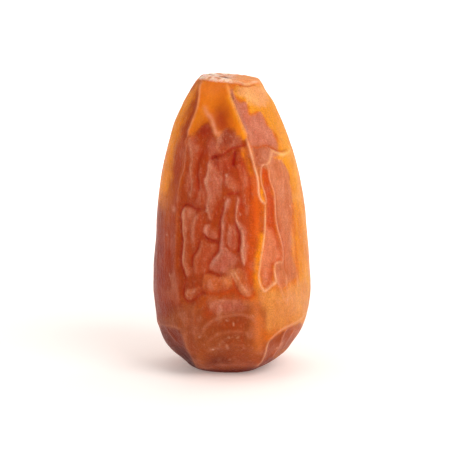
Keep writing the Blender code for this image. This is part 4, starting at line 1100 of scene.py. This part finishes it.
def skin_material():
    mat = bpy.data.materials.new("date_skin_waxy")
    mat.use_nodes = True
    tree = mat.node_tree
    nodes, links = tree.nodes, tree.links
    shader = nodes["Principled BSDF"]

    def node(kind, **values):
        n = nodes.new(kind)
        for key, value in values.items():
            setattr(n, key, value)
        return n

    where = node("ShaderNodeTexCoord")
    tint = node("ShaderNodeAttribute", attribute_name="tint")
    dry = node("ShaderNodeAttribute", attribute_name="dry")

    def noise(scale, detail, rough=0.55):
        n = node("ShaderNodeTexNoise")
        n.inputs["Scale"].default_value = scale
        n.inputs["Detail"].default_value = detail
        n.inputs["Roughness"].default_value = rough
        links.new(where.outputs["Object"], n.inputs["Vector"])
        return n

    def ramp(value, low, high, to_low=0.0, to_high=1.0):
        r = node("ShaderNodeMapRange", interpolation_type="SMOOTHSTEP")
        r.inputs["From Min"].default_value = low
        r.inputs["From Max"].default_value = high
        r.inputs["To Min"].default_value = to_low
        r.inputs["To Max"].default_value = to_high
        links.new(value, r.inputs["Value"])
        return r.outputs["Result"]

    def mix(kind, factor, a, b):
        m = node("ShaderNodeMix", data_type="RGBA", blend_type=kind)
        if isinstance(factor, float):
            m.inputs[0].default_value = factor
        else:
            links.new(factor, m.inputs[0])
        for socket, value in ((m.inputs[6], a), (m.inputs[7], b)):
            if isinstance(value, tuple):
                socket.default_value = (*value, 1.0)
            else:
                links.new(value, socket)
        return m.outputs[2]

    def times(a, b):
        m = node("ShaderNodeMath", operation="MULTIPLY")
        for socket, value in ((m.inputs[0], a), (m.inputs[1], b)):
            if isinstance(value, float):
                socket.default_value = value
            else:
                links.new(value, socket)
        return m.outputs["Value"]

    stretched = node("ShaderNodeMapping")
    stretched.inputs["Scale"].default_value = (1.0, 1.0, 0.35)
    links.new(where.outputs["Object"], stretched.inputs["Vector"])
    granular = node("ShaderNodeAttribute", attribute_name="grain")
    grain = noise(3900.0, 3.0, 0.6)    # the skin's fine grain
    bloom = noise(1500.0, 5.0, 0.65)   # patchy sugar bloom
    fleck = noise(2600.0, 4.0, 0.7)    # short pale flecks along the fruit
    links.new(stretched.outputs["Vector"], fleck.inputs["Vector"])

    colour = mix("MIX", times(ramp(bloom.outputs["Fac"], 0.50, 0.75, 0.0, 0.30), granular.outputs["Fac"]),
                 tint.outputs["Color"], tuple(srgb((226, 156, 128))))
    colour = mix("MIX", times(ramp(fleck.outputs["Fac"], 0.54, 0.80, 0.0, 0.55), granular.outputs["Fac"]), colour,
                 tuple(srgb((232, 164, 136))))
    colour = mix("MULTIPLY", times(ramp(grain.outputs["Fac"], 0.50, 0.30, 0.0, 0.45), granular.outputs["Fac"]), colour,
                 (0.72, 0.48, 0.42))
    colour = mix("MULTIPLY", ramp(grain.outputs["Fac"], 0.52, 0.75, 0.0, 0.25), colour, (0.78, 0.62, 0.50))
    dust = noise(6800.0, 2.0, 0.6)     # the finest mottle
    smoother = ramp(granular.outputs["Fac"], 0.05, 0.25, 0.35, 1.0)
    colour = mix("MULTIPLY", times(ramp(dust.outputs["Fac"], 0.62, 0.38), smoother), colour, (0.77, 0.76, 0.75))
    links.new(colour, shader.inputs["Base Color"])

    rough = node("ShaderNodeMath", operation="ADD")
    links.new(ramp(bloom.outputs["Fac"], 0.3, 0.7, 0.32, 0.50), rough.inputs[0])
    links.new(ramp(dry.outputs["Fac"], 0.0, 1.0, 0.0, 0.30), rough.inputs[1])
    links.new(rough.outputs["Value"], shader.inputs["Roughness"])

    high = node("ShaderNodeMath", operation="MULTIPLY_ADD")
    links.new(grain.outputs["Fac"], high.inputs[0])
    high.inputs[1].default_value = 0.5
    links.new(fleck.outputs["Fac"], high.inputs[2])
    bump = node("ShaderNodeBump")
    bump.inputs["Strength"].default_value = 0.85
    bump.inputs["Distance"].default_value = 0.00016
    links.new(high.outputs["Value"], bump.inputs["Height"])
    links.new(bump.outputs["Normal"], shader.inputs["Normal"])

    shader.inputs["Metallic"].default_value = 0.0
    shader.inputs["IOR"].default_value = 1.46
    shader.inputs["Specular IOR Level"].default_value = 0.19
    shader.inputs["Specular Tint"].default_value = (1.0, 0.74, 0.52, 1)
    shader.inputs["Subsurface Weight"].default_value = 0.35
    shader.inputs["Subsurface Radius"].default_value = (1.0, 0.38, 0.12)
    shader.inputs["Subsurface Scale"].default_value = 0.00035
    return mat


def make_floor():
    bm = bmesh.new()
    bmesh.ops.create_circle(bm, cap_ends=True, radius=3.0, segments=96)
    for v in bm.verts:
        v.co.z = -0.00002
    mesh = bpy.data.meshes.new("floor")
    bm.to_mesh(mesh)
    bm.free()
    floor = bpy.data.objects.new("floor", mesh)
    bpy.context.scene.collection.objects.link(floor)
    mat = bpy.data.materials.new("pale_floor")
    mat.use_nodes = True
    shader = mat.node_tree.nodes["Principled BSDF"]
    shader.inputs["Base Color"].default_value = (0.95, 0.88, 0.84, 1)
    shader.inputs["Roughness"].default_value = 0.5
    shader.inputs["Specular IOR Level"].default_value = 0.2
    # the surface glows a little more with distance, as a lit sweep does; its pinkish glow is painted light, standing in
    # for light bounced from the fruit into its shadow
    nodes, links = mat.node_tree.nodes, mat.node_tree.links
    where = nodes.new("ShaderNodeTexCoord")
    length = nodes.new("ShaderNodeVectorMath")
    length.operation = "LENGTH"
    links.new(where.outputs["Object"], length.inputs[0])
    glow = nodes.new("ShaderNodeMapRange")
    glow.interpolation_type = "SMOOTHSTEP"
    glow.inputs["From Min"].default_value = 0.015
    glow.inputs["From Max"].default_value = 0.16
    glow.inputs["To Min"].default_value = 0.22
    glow.inputs["To Max"].default_value = 0.70
    links.new(length.outputs["Value"], glow.inputs["Value"])
    links.new(glow.outputs["Result"], shader.inputs["Emission Strength"])
    shader.inputs["Emission Color"].default_value = (1.0, 0.84, 0.77, 1)
    mesh.materials.append(mat)


def aim(obj, at):
    obj.rotation_euler = (Vector(at) - obj.location).to_track_quat("-Z", "Y").to_euler()


def softbox(name, place, at, size, power, colour=(1, 1, 1)):
    light = bpy.data.lights.new(name, "AREA")
    light.shape = "RECTANGLE"
    light.size, light.size_y = size
    light.energy = power
    light.color = colour
    made = bpy.data.objects.new(name, light)
    bpy.context.scene.collection.objects.link(made)
    made.location = place
    aim(made, at)


def studio():
    world = bpy.data.worlds.new("studio")
    world.use_nodes = True
    back = world.node_tree.nodes["Background"]
    back.inputs["Color"].default_value = (1.0, 0.985, 0.97, 1)
    back.inputs["Strength"].default_value = 0.60
    bpy.context.scene.world = world
    middle = (0, 0, 0.021)
    softbox("key", (0.20, -0.22, 0.30), middle, (0.24, 0.24), 0.83)
    softbox("rim", (0.26, 0.22, 0.20), middle, (0.16, 0.24), 0.18)
    softbox("top", (0.0, 0.04, 0.42), middle, (0.30, 0.30), 0.40)
    bpy.context.scene.view_settings.view_transform = "Standard"
    bpy.context.scene.view_settings.look = "None"


def camera():
    data = bpy.data.cameras.new("camera")
    data.sensor_width = 36.0
    data.lens = 184.8
    data.clip_start = 0.01
    data.clip_end = 20
    cam = bpy.data.objects.new("camera", data)
    bpy.context.scene.collection.objects.link(cam)
    target = Vector(((EYE_TARGET[0] + MOVED[0]) * MM, 0.0, EYE_TARGET[2] * MM))
    far = EYE_DISTANCE * MM
    cam.location = target + Vector((0, -far * math.cos(EYE_ELEVATION), far * math.sin(EYE_ELEVATION)))
    aim(cam, target)
    bpy.context.scene.camera = cam


camera()
skin_object = make_skin()
skin_object.data.materials.append(skin_material())
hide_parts("date_fruit")
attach(skin_object, "root")
make_floor()
studio()
